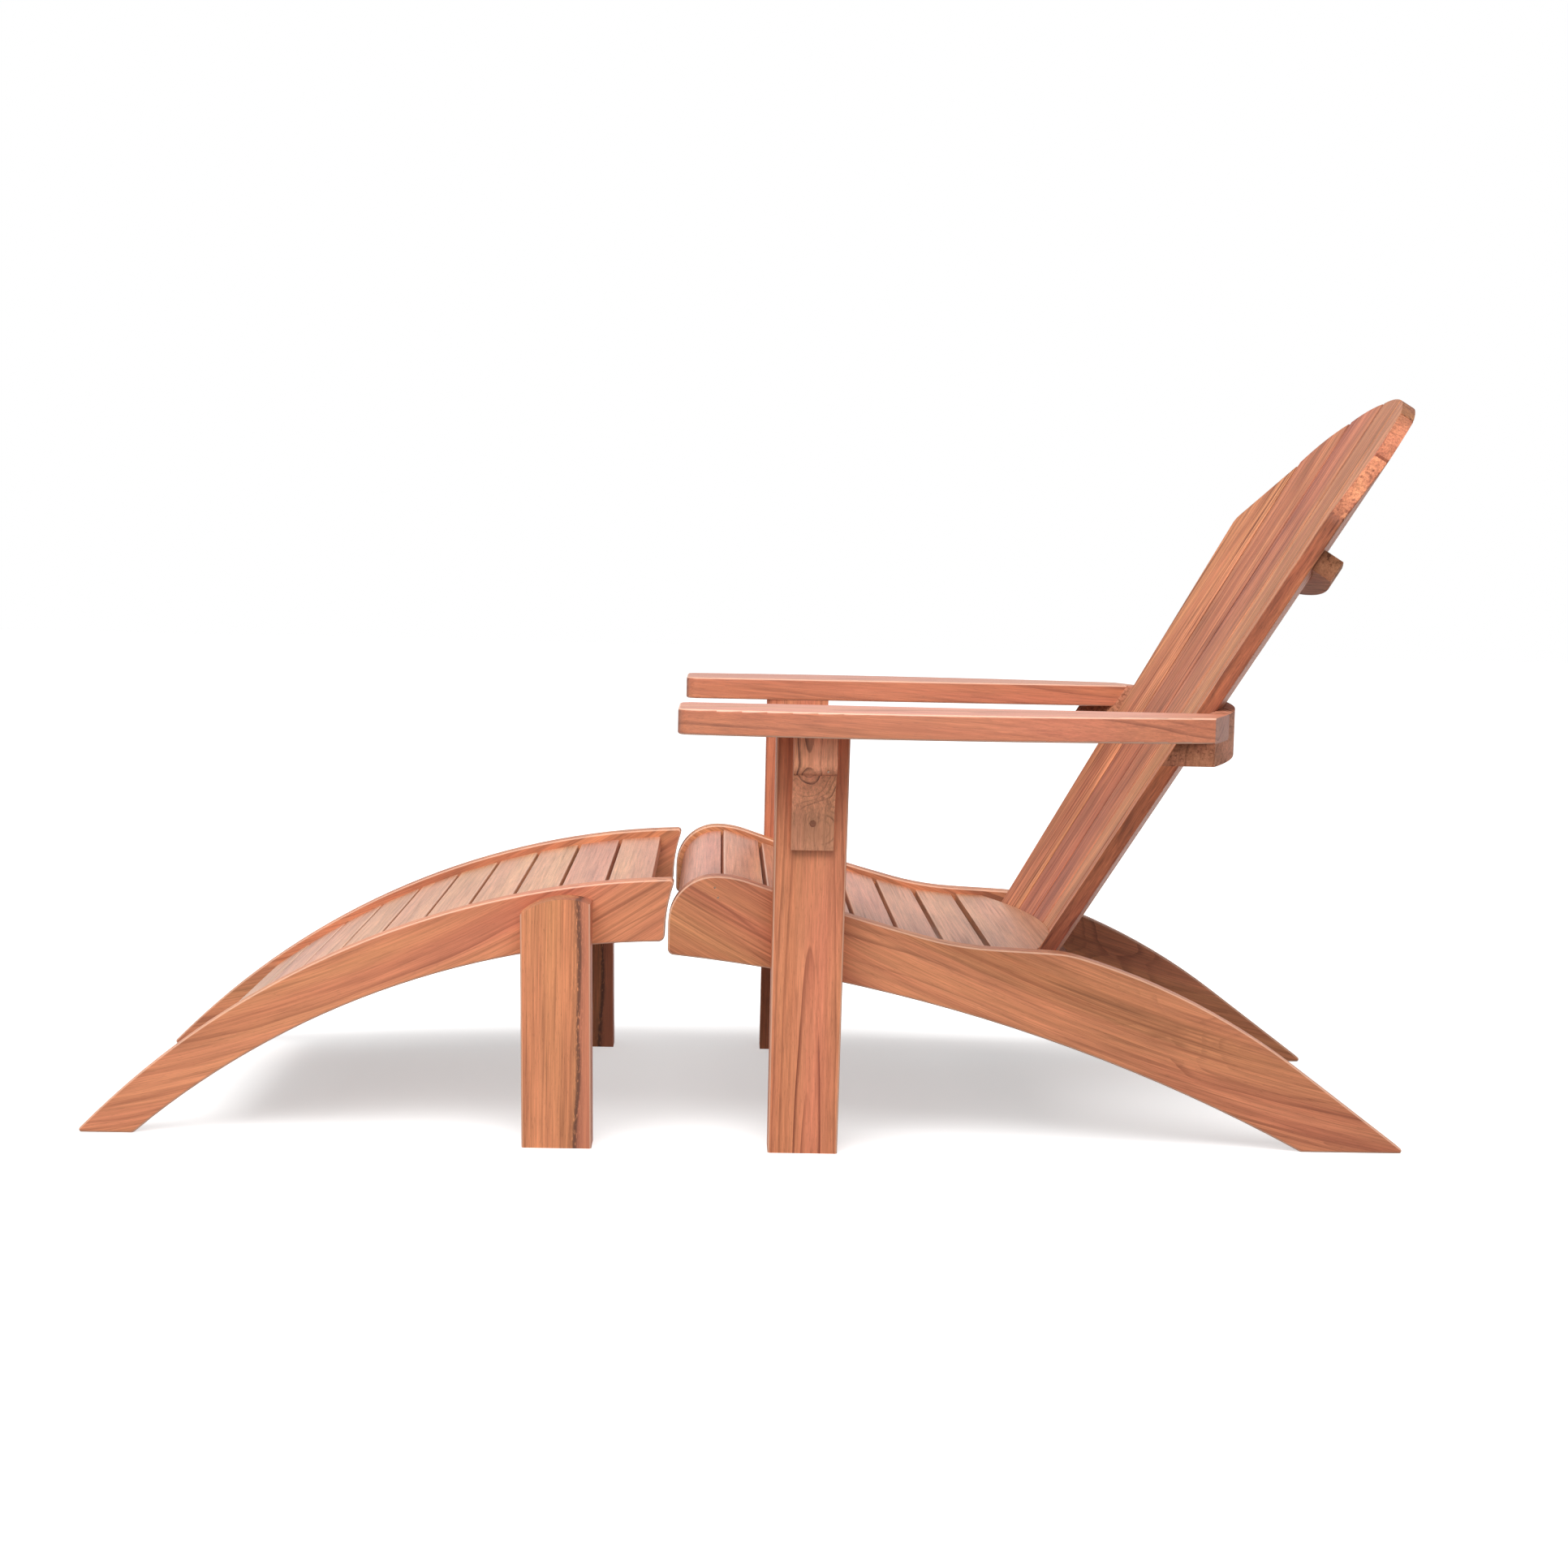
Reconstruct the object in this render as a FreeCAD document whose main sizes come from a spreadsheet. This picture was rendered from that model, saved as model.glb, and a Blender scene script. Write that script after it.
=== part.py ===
import FreeCAD, Part
import math
import os
import Sketcher

# Slatted hardwood garden chair with a deep curved seat, broad arms and a fanned, hollow back,
# and the loose footstool that carries its seat line on to the floor. All sizes are millimetres.
# X runs from the footstool to the back, Y to the sitter's right and Z up from the floor.
# Until the last step X = 0 is the front face of the chair's front legs.
SIZES = {
    # the chair's side rail: upper outline from the nose over the seat to the foot
    "nose_overhang": 128.5,
    "nose_face_bottom": 245,
    "nose_face_height": 33,
    "nose_radius": 59,
    "crest_radius": 130,
    "seat_front_slope": 19,
    "seat_radius": 2888,
    "seat_back_slope": 14.5,
    "dip_radius": 430,
    "hip_slope": 2.6,
    "hip_length": 74,
    "hip_radius": 157,
    "tail_start_slope": 16,
    "tail_radius": 877,
    "tail_slope": 36.5,
    "foot_tip_radius": 3.5,
    # the same rail: underside, thickness and the way between the pair
    "under_corner_radius": 8,
    "under_start_slope": 5.5,
    "under_radius": 2150,
    "rail_thickness": 28,
    "rail_edge_round": 3,
    "seat_width": 522,
    # seat slats and their stub tenons
    "slat_drop": 8.5,
    "slat_thickness": 18,
    "slat_edge_round": 2.5,
    "seat_slat_count": 6,
    "seat_slat_width": 52.8,
    "seat_slat_gap": 6,
    "first_gap_from_crest": 8.5,
    "nose_slat_depth": 22.5,
    "nose_slat_lip": 22,
    "tenon_length": 12,
    "tenon_width": 36,
    "tenon_thickness": 10,
    "nose_tenon_width": 24,
    "nose_tenon_sink": 1,
    "tenon_clearance": 0.2,
    "board_back_clearance": 1.5,
    # front legs, arms and corbels
    "leg_thickness": 45,
    "leg_foot_width": 86,
    "leg_head_width": 90,
    "leg_edge_round": 3,
    "arm_height": 552,
    "arm_thickness": 31,
    "arm_overhang": 119,
    "arm_inner_front": 282.5,
    "arm_inner_rear": 305,
    "arm_outer_front": 410,
    "arm_outer_middle": 428,
    "arm_outer_rear": 388,
    "arm_corner_radius": 17,
    "arm_edge_round": 3,
    "corbel_setback": 20,
    "corbel_width": 52,
    "corbel_height": 143,
    "corbel_reach": 62,
    "corbel_block_height": 48,
    "corbel_nose_radius": 18,
    "corbel_nose_undercut": 14,
    "corbel_step": 3,
    "corbel_toe": 9,
    "corbel_cove_depth": 12,
    # the back: a fan of flat slats on a hollow cone, leaning on three cross pieces
    "back_reach": 385.9,
    "back_rise": 1.5,
    "back_lean": 31.66,
    "back_length": 840,
    "back_foot": 85,
    "back_half_width": 212,
    "back_top_half_width": 301.6,
    "back_hollow": 34.3,
    "back_slat_count": 7,
    "back_slat_thickness": 19.4,
    "back_slat_gap": 3,
    "back_edge_round": 2,
    "back_seat_clearance": 0.1,
    "arch_radius": 250,
    "shoulder_round": 22,
    "shoulder_fall": 110,
    "brace_station": 573.5,
    "brace_height": 29,
    "brace_depth": 26.5,
    "brace_half_length": 265,
    "cross_rail_height": 58.5,
    "cross_rail_top_depth": 9.4,
    "cross_rail_rear_radius": 937,
    "lower_rail_drop": 44.1,
    "lower_rail_height": 50,
    "lower_rail_setback": 29.1,
    "lower_rail_depth": 85,
    "lower_tenon_depth": 43,
    "lower_tenon_margin": 5,
    # the footstool
    "stool_gap": 4,
    "stool_end_bottom": 260.7,
    "stool_end_radius": 210,
    "stool_end_sweep": 17.7,
    "stool_corner_radius": 5,
    "stool_top_slope": 2.1,
    "stool_top_radius": 1067,
    "stool_under_slope": 1.5,
    "stool_under_radius": 1031,
    "stool_width": 514,
    "stool_slat_drop": 11,
    "stool_slat_count": 10,
    "stool_slat_width": 55.5,
    "stool_slat_gap": 5.5,
    "stool_first_slat": 26,
    "stool_leg_reach": 90.5,
    "stool_leg_width": 86,
    "stool_leg_thickness": 43,
    "stool_leg_lean": 5.5,
    "stool_leg_crown_drop": 8,
    "stool_leg_corner_drop": 19,
    # bolts, screws, dowels, nails and plugs
    "bolt_radius": 3.8,
    "bolt_head_radius": 8,
    "bolt_head_height": 5,
    "bolt_grip": 20,
    "bolt_clearance": 0.3,
    "bolt_rise": 32,
    "bolt_spacing": 44,
    "washer_radius": 10,
    "washer_thickness": 1.5,
    "insert_radius": 5.5,
    "insert_length": 24,
    "insert_clearance": 0.1,
    "screw_length": 38,
    "screw_radius": 2.1,
    "screw_head_radius": 4,
    "screw_head_height": 2.6,
    "screw_clearance": 0.1,
    "screw_bite": 12,
    "dowel_radius": 5,
    "dowel_length": 45,
    "dowel_arm_depth": 20,
    "dowel_spacing": 40,
    "nail_radius": 1.3,
    "nail_length": 42,
    "plug_radius": 4,
    "plug_length": 6,
    "plug_drop": 110,
    "corbel_nail_drop": 42,
    "corbel_nail_offset": 15,
    "front_nail_setback": 2.5,
    "front_nail_depth": 6,
    "rear_nail_setback": 3,
    "rear_nail_rise": 4,
    "lower_screw_drop": 10,
    "lap_screw_setback": 24,
}

doc = FreeCAD.newDocument("ReclinerAndFootstool")
sheet = doc.addObject("Spreadsheet::Sheet", "Sizes")
for row, (alias, number) in enumerate(SIZES.items(), start=1):
    sheet.set("A%d" % row, alias)
    sheet.set("B%d" % row, str(number))
    sheet.setAlias("B%d" % row, alias)
doc.recompute()

Vector = FreeCAD.Vector
SIDES = (-1, 1)
ACROSS = Vector(0, 1, 0)
UP = Vector(0, 0, 1)
nodes = {}

# How far blanks and cutters reach past the work, as shares of the size beside each
FORM_BELOW = 1.8
FORM_ABOVE = 1.2
BLANK_SPARE = 1.5
# Where each arm's two screws stand between its inner and outer edge
LAP_SCREW_SHARES = (0.3, 0.75)
# Edges longer than this are long edges, and holes run out this far, in mm
LONG_EDGE = 100
HOLE_OVERRUN = 60
# A hair's breadth that keeps a point on its own run, and the turns that settle a sum
HAIR = 1e-9
HALVINGS = 50
SETTLING_TURNS = 30


def size(alias):
    return float(sheet.get(alias))


def keep(piece, node):
    piece.Label = node
    nodes[node] = piece
    return piece


# Flat outlines and walked curves


class Outline:
    # A closed outline drawn on from point to point.

    def __init__(self, x, y):
        self.first = self.here = Vector(x, y, 0)
        self.edges = []

    def line(self, x, y):
        point = Vector(x, y, 0)
        self.edges.append(Part.LineSegment(self.here, point))
        self.here = point
        return self

    def arc(self, middle, point):
        self.edges.append(Part.Arc(self.here, Vector(*middle, 0), Vector(*point, 0)))
        self.here = Vector(*point, 0)
        return self

    def rounded(self, corner, after, radius):
        # runs towards a corner and turns it with a tangent arc, ready to go on to the next point
        corner = Vector(*corner, 0)
        back = (self.here - corner).normalize()
        onward = (Vector(*after, 0) - corner).normalize()
        half_angle = back.getAngle(onward) / 2
        run = radius / math.tan(half_angle)
        middle = corner + (back + onward).normalize() * (radius / math.sin(half_angle) - radius)
        start = corner + back * run
        self.line(start.x, start.y)
        end = corner + onward * run
        return self.arc((middle.x, middle.y), (end.x, end.y))

    def close(self):
        self.line(self.first.x, self.first.y)
        return self.edges


def walk(start, length, bend):
    along, height, heading = start
    if bend == 0:
        return (along + length * math.cos(heading), height + length * math.sin(heading), heading)
    end = heading + bend * length
    return (along + (math.sin(end) - math.sin(heading)) / bend,
            height - (math.cos(end) - math.cos(heading)) / bend,
            end)


class Curve:
    # A run of tangent lines and arcs in an upright plane. It is walked along +X, or along -X
    # where way is -1. Headings are in degrees, and climb where they are positive.

    def __init__(self, x, height, heading, way=1):
        self.way = way
        self.runs = []
        self.end = (x * way, height, math.radians(heading))

    def add(self, length, bend):
        self.runs.append((self.end, length, bend))
        self.end = walk(self.end, length, bend)
        return self

    def line(self, length):
        return self.add(length, 0)

    def arc(self, radius, heading):
        turn = math.radians(heading) - self.end[2]
        return self.add(radius * abs(turn), math.copysign(1 / radius, turn))

    def line_down_to(self, height):
        return self.add((self.end[1] - height) / -math.sin(self.end[2]), 0)

    def arc_to_floor(self, radius, turn_radius, heading):
        # falls on one arc and turns with a small one as it lands: to 0 it goes on along the floor,
        # to -180 it tucks back under
        start_height, start_heading = self.end[1:]
        cosine = math.cos(start_heading) - (start_height - turn_radius) / radius
        cosine /= 1 + turn_radius / radius * math.cos(math.radians(heading))
        self.arc(radius, -math.degrees(math.acos(cosine)))
        return self.arc(turn_radius, heading)

    def length(self):
        return sum(length for start, length, bend in self.runs)

    def spot(self, distance, inset=0):
        # the place that far along and that deep under the curve, and its tilt about the Y axis
        for start, length, bend in self.runs:
            if distance <= length:
                break
            distance -= length
        along, height, heading = walk(start, distance, bend)
        x = self.way * (along + inset * math.sin(heading))
        return Vector(x, 0, height - inset * math.cos(heading)), -self.way * math.degrees(heading)

    def distance_at(self, x):
        near, far = 0, self.length()
        for halving in range(HALVINGS):
            middle = (near + far) / 2
            if self.spot(middle)[0].x * self.way < x * self.way:
                near = middle
            else:
                far = middle
        return near

    def height_at(self, x):
        return self.spot(self.distance_at(x))[0].z

    def edges(self, inset=0, first=0, last=None):
        last = self.length() if last is None else last
        drawn = []
        passed = 0
        for start, length, bend in self.runs:
            near, far = max(first, passed), min(last, passed + length)
            passed += length
            if far - near < 0.01:
                continue
            points = [self.spot(place, inset)[0] for place in (near + HAIR, (near + far) / 2, far - HAIR)]
            flat = [Vector(point.x, point.z, 0) for point in points]
            drawn.append(Part.Arc(*flat) if bend else Part.LineSegment(flat[0], flat[2]))
        return drawn


# Sketches and the features that stand on them


def new_sketch(body, name, plane, offset=0):
    sketch = body.newObject("Sketcher::SketchObject", name)
    origin_plane = [part for part in body.Origin.OriginFeatures if part.Role == plane][0]
    sketch.AttachmentSupport = [(origin_plane, "")]
    sketch.MapMode = "FlatFace"
    sketch.AttachmentOffset = FreeCAD.Placement(Vector(0, 0, offset), FreeCAD.Rotation())
    return sketch


def tie_corners(sketch):
    count = sketch.GeometryCount
    for first in range(count):
        second = (first + 1) % count
        for end in (1, 2):
            for start in (1, 2):
                if sketch.getPoint(first, end).isEqual(sketch.getPoint(second, start), 1e-5):
                    sketch.addConstraint(Sketcher.Constraint("Coincident", first, end, second, start))


def outline_sketch(body, name, plane, edges, offset=0):
    sketch = new_sketch(body, name, plane, offset)
    sketch.addGeometry(edges, False)
    tie_corners(sketch)
    return sketch


def draw_rectangle(sketch, wide, high):
    # a rectangle centred on the sketch's origin, its sides bound to the sheet
    half_wide, half_high = 10, 5
    corners = [Vector(x, y, 0) for x, y in ((-half_wide, -half_high), (half_wide, -half_high),
                                            (half_wide, half_high), (-half_wide, half_high))]
    sketch.addGeometry([Part.LineSegment(corners[k], corners[(k + 1) % 4]) for k in range(4)], False)
    rule = Sketcher.Constraint
    for k in range(4):
        sketch.addConstraint(rule("Coincident", k, 2, (k + 1) % 4, 1))
        sketch.addConstraint(rule("Horizontal" if k % 2 == 0 else "Vertical", k))
    sketch.addConstraint(rule("Symmetric", 0, 1, 1, 2, -1, 1))
    for kind, line, alias, name in (("DistanceX", 0, wide, "wide"), ("DistanceY", 1, high, "high")):
        start = 2 * half_wide if line == 0 else 2 * half_high
        number = sketch.addConstraint(rule(kind, line, 1, line, 2, start))
        sketch.renameConstraint(number, name)
        sketch.setExpression("Constraints." + name, "Sizes." + alias)
    return sketch


def pad(body, sketch, length, backwards=False, both_ways=False):
    feature = body.newObject("PartDesign::Pad", sketch.Name + "_pad")
    feature.Profile = sketch
    feature.setExpression("Length", length)
    feature.Reversed = backwards
    if both_ways:
        feature.SideType = "Symmetric"
    sketch.Visibility = False
    doc.recompute()
    return feature


def pocket(body, sketch, depth, backwards=False):
    volume = body.Shape.Volume
    feature = body.newObject("PartDesign::Pocket", sketch.Name + "_pocket")
    feature.Profile = sketch
    feature.setExpression("Length", depth)
    feature.Reversed = backwards
    doc.recompute()
    if body.Shape.Volume > volume - 1:
        raise ValueError(sketch.Name + " cuts nothing")
    return feature


def round_edges(body, radius, chosen):
    base = body.Tip
    names = ["Edge%d" % number for number, edge in enumerate(base.Shape.Edges, start=1) if chosen(edge)]
    feature = body.newObject("PartDesign::Fillet", body.Name + "_round")
    feature.Base = (base, names)
    feature.setExpression("Radius", radius)
    doc.recompute()
    return feature


def mid_point(edge):
    return edge.valueAt((edge.FirstParameter + edge.LastParameter) / 2)


def runs_along(edge, axis, shortest):
    ends = [vertex.Point for vertex in edge.Vertexes]
    if len(ends) < 2 or edge.Length < shortest:
        return False
    return abs((ends[1] - ends[0]).dot(axis)) > 0.99 * edge.Length


def new_body(name, place=Vector(), turn=0):
    body = doc.addObject("PartDesign::Body", name)
    body.Placement = FreeCAD.Placement(place, FreeCAD.Rotation(ACROSS, turn))
    return body


def mirror(source, name):
    result = doc.addObject("Part::Mirroring", name)
    result.Source = source
    result.Normal = ACROSS
    doc.recompute()
    return result


def keep_pair(left_piece, node):
    # the right-hand piece is the left-hand one's mirror image
    keep(left_piece, "left_" + node)
    keep(mirror(left_piece, "right_" + node), "right_" + node)


def boolean(kind, name, base, tool):
    result = doc.addObject("Part::" + kind, name)
    result.Base = base
    result.Tool = tool
    doc.recompute()
    return result


# Turned fasteners: each is drawn once, and its copies are gathered under one node


def turned(name, profile):
    # revolves (radius, height) points about the upright axis; the tip or foot is at height 0
    body = new_body(name)
    outline = Outline(*profile[0])
    for radius, height in profile[1:]:
        outline.line(radius, height)
    sketch = outline_sketch(body, name + "_profile", "XZ_Plane", outline.close())
    feature = body.newObject("PartDesign::Revolution", name + "_turned")
    feature.Profile = sketch
    feature.ReferenceAxis = (sketch, ["V_Axis"])
    feature.Angle = 360
    doc.recompute()
    return body


def pointing(place, direction):
    # stands a turned piece at a place with its upright axis along a direction
    return FreeCAD.Placement(place, FreeCAD.Rotation(UP, direction))


def gather(name, master, placements):
    group = doc.addObject("Part::Compound", name)
    copies = []
    for number, placement in enumerate(placements, start=1):
        link = doc.addObject("App::Link", "%s_%d" % (name, number))
        link.LinkedObject = master
        link.Placement = placement
        copies.append(link)
    group.Links = copies
    doc.recompute()
    return group


def rod(radius, length):
    return [(0, 0), (radius, 0), (radius, length), (0, length)]


def ring(bore, radius, length):
    return [(bore, 0), (radius, 0), (radius, length), (bore, length)]


def screw_profile(grow, overrun):
    # a countersunk screw standing on its tip; its hole is a little larger and runs out past the head
    shank, head = size("screw_radius") + grow, size("screw_head_radius") + grow
    length, head_height = size("screw_length"), size("screw_head_height")
    profile = [(0, 0), (shank, 0), (shank, length - head_height), (head, length)]
    if overrun:
        profile.append((head, length + overrun))
    return profile + [(0, length + overrun)]


# The chair's side rails: seat line above, arched underside and a foot that reaches the floor

seat_line = Curve(-size("nose_overhang"), size("nose_face_bottom"), 90)
seat_line.line(size("nose_face_height"))
seat_line.arc(size("nose_radius"), 0)
crest = seat_line.length()
seat_line.arc(size("crest_radius"), -size("seat_front_slope"))
seat_line.arc(size("seat_radius"), -size("seat_back_slope"))
seat_line.arc(size("dip_radius"), -size("hip_slope"))
seat_line.line(size("hip_length"))
seat_line.arc(size("hip_radius"), -size("tail_start_slope"))
seat_line.arc(size("tail_radius"), -size("tail_slope"))
tip_height = size("foot_tip_radius") * (1 + math.cos(math.radians(size("tail_slope"))))
seat_line.line_down_to(tip_height)
seat_line.arc(size("foot_tip_radius"), -180)

under_line = Curve(-size("nose_overhang"), size("nose_face_bottom"), -90)
under_line.arc(size("under_corner_radius"), -size("under_start_slope"))
under_line.arc_to_floor(size("under_radius"), size("under_corner_radius"), 0)

leg_height = size("arm_height") - size("arm_thickness")
rail_inner = size("seat_width") / 2
rail_outer = rail_inner + size("rail_thickness")
leg_outer = rail_outer + size("leg_thickness")


def side_rail_edges(top, under):
    top_end = top.spot(top.length() - HAIR)[0]
    under_end = under.spot(under.length() - HAIR)[0]
    foot = Part.LineSegment(Vector(top_end.x, 0, 0), Vector(under_end.x, 0, 0))
    return top.edges() + [foot] + under.edges()[::-1]


def rectangle_edges(centre, tilt, wide, high):
    turn = FreeCAD.Rotation(Vector(0, 0, 1), -tilt)
    middle = Vector(centre.x, centre.z, 0)
    corners = [middle + turn.multVec(Vector(x * wide / 2, y * high / 2, 0))
               for x, y in ((-1, -1), (1, -1), (1, 1), (-1, 1))]
    return [Part.LineSegment(corners[k], corners[(k + 1) % 4]) for k in range(4)]


def left_rail(name, inner, edges, mortises, bolts):
    # one plank on edge: its inner face is the body's own zero plane
    body = new_body(name, Vector(0, -inner, 0))
    pad(body, outline_sketch(body, name + "_outline", "XZ_Plane", edges), "Sizes.rail_thickness")
    round_edges(body, "Sizes.rail_edge_round", lambda edge: edge.BoundBox.YLength < 0.01)
    for number, (centre, tilt, wide, high) in enumerate(mortises, start=1):
        slack = 2 * size("tenon_clearance")
        opening = rectangle_edges(centre, tilt, wide + slack, high + slack)
        sketch = outline_sketch(body, "%s_mortise_%d" % (name, number), "XZ_Plane", opening)
        pocket(body, sketch, "Sizes.tenon_length", backwards=True)
    bolt_holes(body, name, bolts, size("bolt_radius") + size("bolt_clearance"), "Sizes.rail_thickness")
    return body


def bolt_holes(body, name, bolts, radius, depth):
    sketch = new_sketch(body, name + "_bolt_holes", "XZ_Plane")
    for place in bolts:
        sketch.addGeometry(Part.Circle(Vector(place.x, place.z, 0), Vector(0, 0, 1), radius), False)
    pocket(body, sketch, depth, backwards=True)


# Where the seat slats lie on the seat line

slat_pitch = size("seat_slat_width") + size("seat_slat_gap")
slat_middle_depth = size("slat_drop") + size("slat_thickness") / 2
slat_spots = []
for number in range(int(size("seat_slat_count"))):
    distance = crest + size("first_gap_from_crest") + slat_pitch * (number + 0.5)
    slat_spots.append(seat_line.spot(distance, slat_middle_depth))
tenon = (size("tenon_width"), size("tenon_thickness"))
mortises = [spot + tenon for spot in slat_spots]

nose_middle = size("nose_face_height") + math.pi / 4 * size("nose_radius")
nose_tenon_depth = size("slat_drop") + size("nose_slat_depth") / 2 + size("nose_tenon_sink")
nose_tenon = seat_line.spot(nose_middle, nose_tenon_depth)
mortises.append(nose_tenon + (size("nose_tenon_width"), size("tenon_thickness")))

back_reach = size("back_reach")
back_origin = Vector(back_reach, 0, seat_line.height_at(back_reach) + size("back_rise"))
lean = math.radians(size("back_lean"))
UP_BACK = Vector(math.sin(lean), 0, math.cos(lean))
FORWARD = Vector(-math.cos(lean), 0, math.sin(lean))


def half_width(station):
    spread = size("back_top_half_width") - size("back_half_width")
    return size("back_half_width") + spread * station / size("back_length")


def hollow(station):
    return size("back_hollow") * half_width(station) / size("back_half_width")


def back_circle(station):
    wide, deep = half_width(station), hollow(station)
    return (wide * wide + deep * deep) / (2 * deep)


def sag(y, station):
    radius = back_circle(station)
    return radius - math.sqrt(radius * radius - y * y)


def on_back(share, station):
    # a point of the slats' front surface: share is 0 in the middle and 1 at the outer edge
    y = share * half_width(station)
    return back_origin + UP_BACK * station + ACROSS * y + FORWARD * sag(y, station)


board_start = crest + size("first_gap_from_crest") + slat_pitch * size("seat_slat_count")
board_start += size("seat_slat_gap") / 2
board_front, board_tilt = seat_line.spot(board_start, slat_middle_depth)
board_side_end = on_back(1, 0).x
board_side = (board_side_end - board_front.x) / math.cos(math.radians(board_tilt))
board_axis = FreeCAD.Rotation(ACROSS, board_tilt).multVec(Vector(1, 0, 0))
board_tenon = board_front + board_axis * (board_side / 2)
mortises.append((board_tenon, board_tilt) + tenon)

lower_rail_top = back_origin.z - size("lower_rail_drop")
lower_rail_rear = back_reach + size("lower_rail_setback")
lower_tenon_height = size("lower_rail_height") - 2 * size("lower_tenon_margin")
lower_tenon_middle = Vector(lower_rail_rear - size("lower_tenon_depth") / 2, 0,
                            lower_rail_top - size("lower_rail_height") / 2)
mortises.append((lower_tenon_middle, 0, size("lower_tenon_depth"), lower_tenon_height))


def leg_bolt_places(middle, under):
    places = []
    for step in (-0.5, 0.5):
        x = middle + step * size("bolt_spacing")
        places.append(Vector(x, 0, under.height_at(x) + size("bolt_rise")))
    return places


chair_bolts = leg_bolt_places(size("leg_head_width") / 2, under_line)
seat_rail = left_rail("seat_rail", rail_inner, side_rail_edges(seat_line, under_line), mortises, chair_bolts)


# Seat slats, from the rounded nose to the board that meets the back


def slat_body(node, spot, wide, between):
    place, tilt = spot
    body = new_body(node, place, tilt)
    section = draw_rectangle(new_sketch(body, node + "_section", "XZ_Plane"), wide, "slat_thickness")
    pad(body, section, "Sizes." + between, both_ways=True)
    round_edges(body, "Sizes.slat_edge_round",
                lambda edge: runs_along(edge, ACROSS, size(between) - 1))
    add_tenons(body, node, between, "tenon_width")
    return keep(body, node)


def add_tenons(body, node, between, wide, place=Vector(), tilt=0):
    sketch = new_sketch(body, node + "_tenon", "XZ_Plane")
    draw_rectangle(sketch, wide, "tenon_thickness")
    turn = FreeCAD.Rotation(Vector(0, 0, 1), -tilt)
    sketch.AttachmentOffset = FreeCAD.Placement(Vector(place.x, place.z, 0), turn)
    pad(body, sketch, "Sizes.%s + 2 * Sizes.tenon_length" % between, both_ways=True)


for number, spot in enumerate(slat_spots, start=1):
    slat_body("seat_slat_%d" % number, spot, "seat_slat_width", "seat_width")

nose = new_body("seat_nose_slat")
nose_start = size("nose_face_height")
nose_end = crest + size("first_gap_from_crest") - size("seat_slat_gap") / 2
nose_edges = seat_line.edges(size("slat_drop"), nose_start, nose_end)
lip = seat_line.spot(nose_start + HAIR, size("slat_drop"))[0]
brow = seat_line.spot(nose_end, size("slat_drop"))[0]
heel = seat_line.spot(nose_end, size("slat_drop") + size("nose_slat_depth"))[0]
under_nose = Outline(brow.x, brow.z).line(heel.x, heel.z).line(lip.x + size("nose_slat_lip"), lip.z)
nose_edges += under_nose.line(lip.x, lip.z).edges
nose_section = outline_sketch(nose, "nose_section", "XZ_Plane", nose_edges)
pad(nose, nose_section, "Sizes.seat_width", both_ways=True)
add_tenons(nose, "nose", "seat_width", "nose_tenon_width", *nose_tenon)
front_nail = seat_line.spot(crest - size("front_nail_setback"),
                            size("slat_drop") + size("front_nail_depth"))[0]
rear_nail = seat_line.spot(crest + size("rear_nail_setback"),
                           size("slat_drop") + size("nose_slat_depth") - size("rear_nail_rise"))[0]

# A solid as wide as the chair, bounded behind by the hollow surface on which the back slats lie,
# or by the surface of their front faces


def back_form(name, behind):
    sections = []
    low, high = -FORM_BELOW * size("back_foot"), FORM_ABOVE * size("back_length")
    for label, station in (("low", low), ("high", high)):
        radius = back_circle(station)
        angle = math.asin(half_width(station) / radius)
        edge = Vector((radius + behind) * math.sin(angle), radius - (radius + behind) * math.cos(angle), 0)
        reach = size("arm_outer_middle")
        wing = edge + Vector(math.cos(angle), math.sin(angle), 0) * reach
        front = wing.y + size("arm_outer_middle")
        outline = Outline(-edge.x, edge.y).arc((0, -behind), (edge.x, edge.y)).line(wing.x, wing.y)
        outline.line(wing.x, front).line(-wing.x, front).line(-wing.x, wing.y)
        sketch = doc.addObject("Sketcher::SketchObject", "%s_%s" % (name, label))
        sketch.addGeometry(outline.close(), False)
        tie_corners(sketch)
        sketch.Placement = back_frame(station)
        sections.append(sketch)
    form = doc.addObject("Part::Loft", name)
    form.Sections = sections
    form.Solid = True
    form.Ruled = True
    doc.recompute()
    return form


def back_frame(station, behind=0):
    # a frame with X across the back, Y to the front and Z up the slats
    place = back_origin + UP_BACK * station - FORWARD * behind
    return FreeCAD.Placement(place, FreeCAD.Rotation(ACROSS, FORWARD, UP_BACK, "ZXY"))


slat_front_form = back_form("slat_front_form", -size("board_back_clearance"))
slat_rear_form = back_form("slat_rear_form", size("back_slat_thickness") + size("back_seat_clearance"))

board = new_body("seat_rear_board_blank", board_front, board_tilt)
tongue_end = board_side + BLANK_SPARE * size("back_hollow")
shoulder = half_width(0)
board_plan = Outline(0, -rail_inner).line(board_side, -rail_inner).line(board_side, -shoulder)
board_plan.line(tongue_end, -shoulder).line(tongue_end, shoulder).line(board_side, shoulder)
board_plan.line(board_side, rail_inner).line(0, rail_inner)
board_sketch = outline_sketch(board, "board_plan", "XY_Plane", board_plan.close())
pad(board, board_sketch, "Sizes.slat_thickness", both_ways=True)
add_tenons(board, "board", "seat_width", "tenon_width", Vector(board_side / 2, 0, 0))
keep(boolean("Common", "seat_rear_board", board, slat_front_form), "seat_rear_board")

# The back slats: tapered flat boards, sawn to one arch


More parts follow.
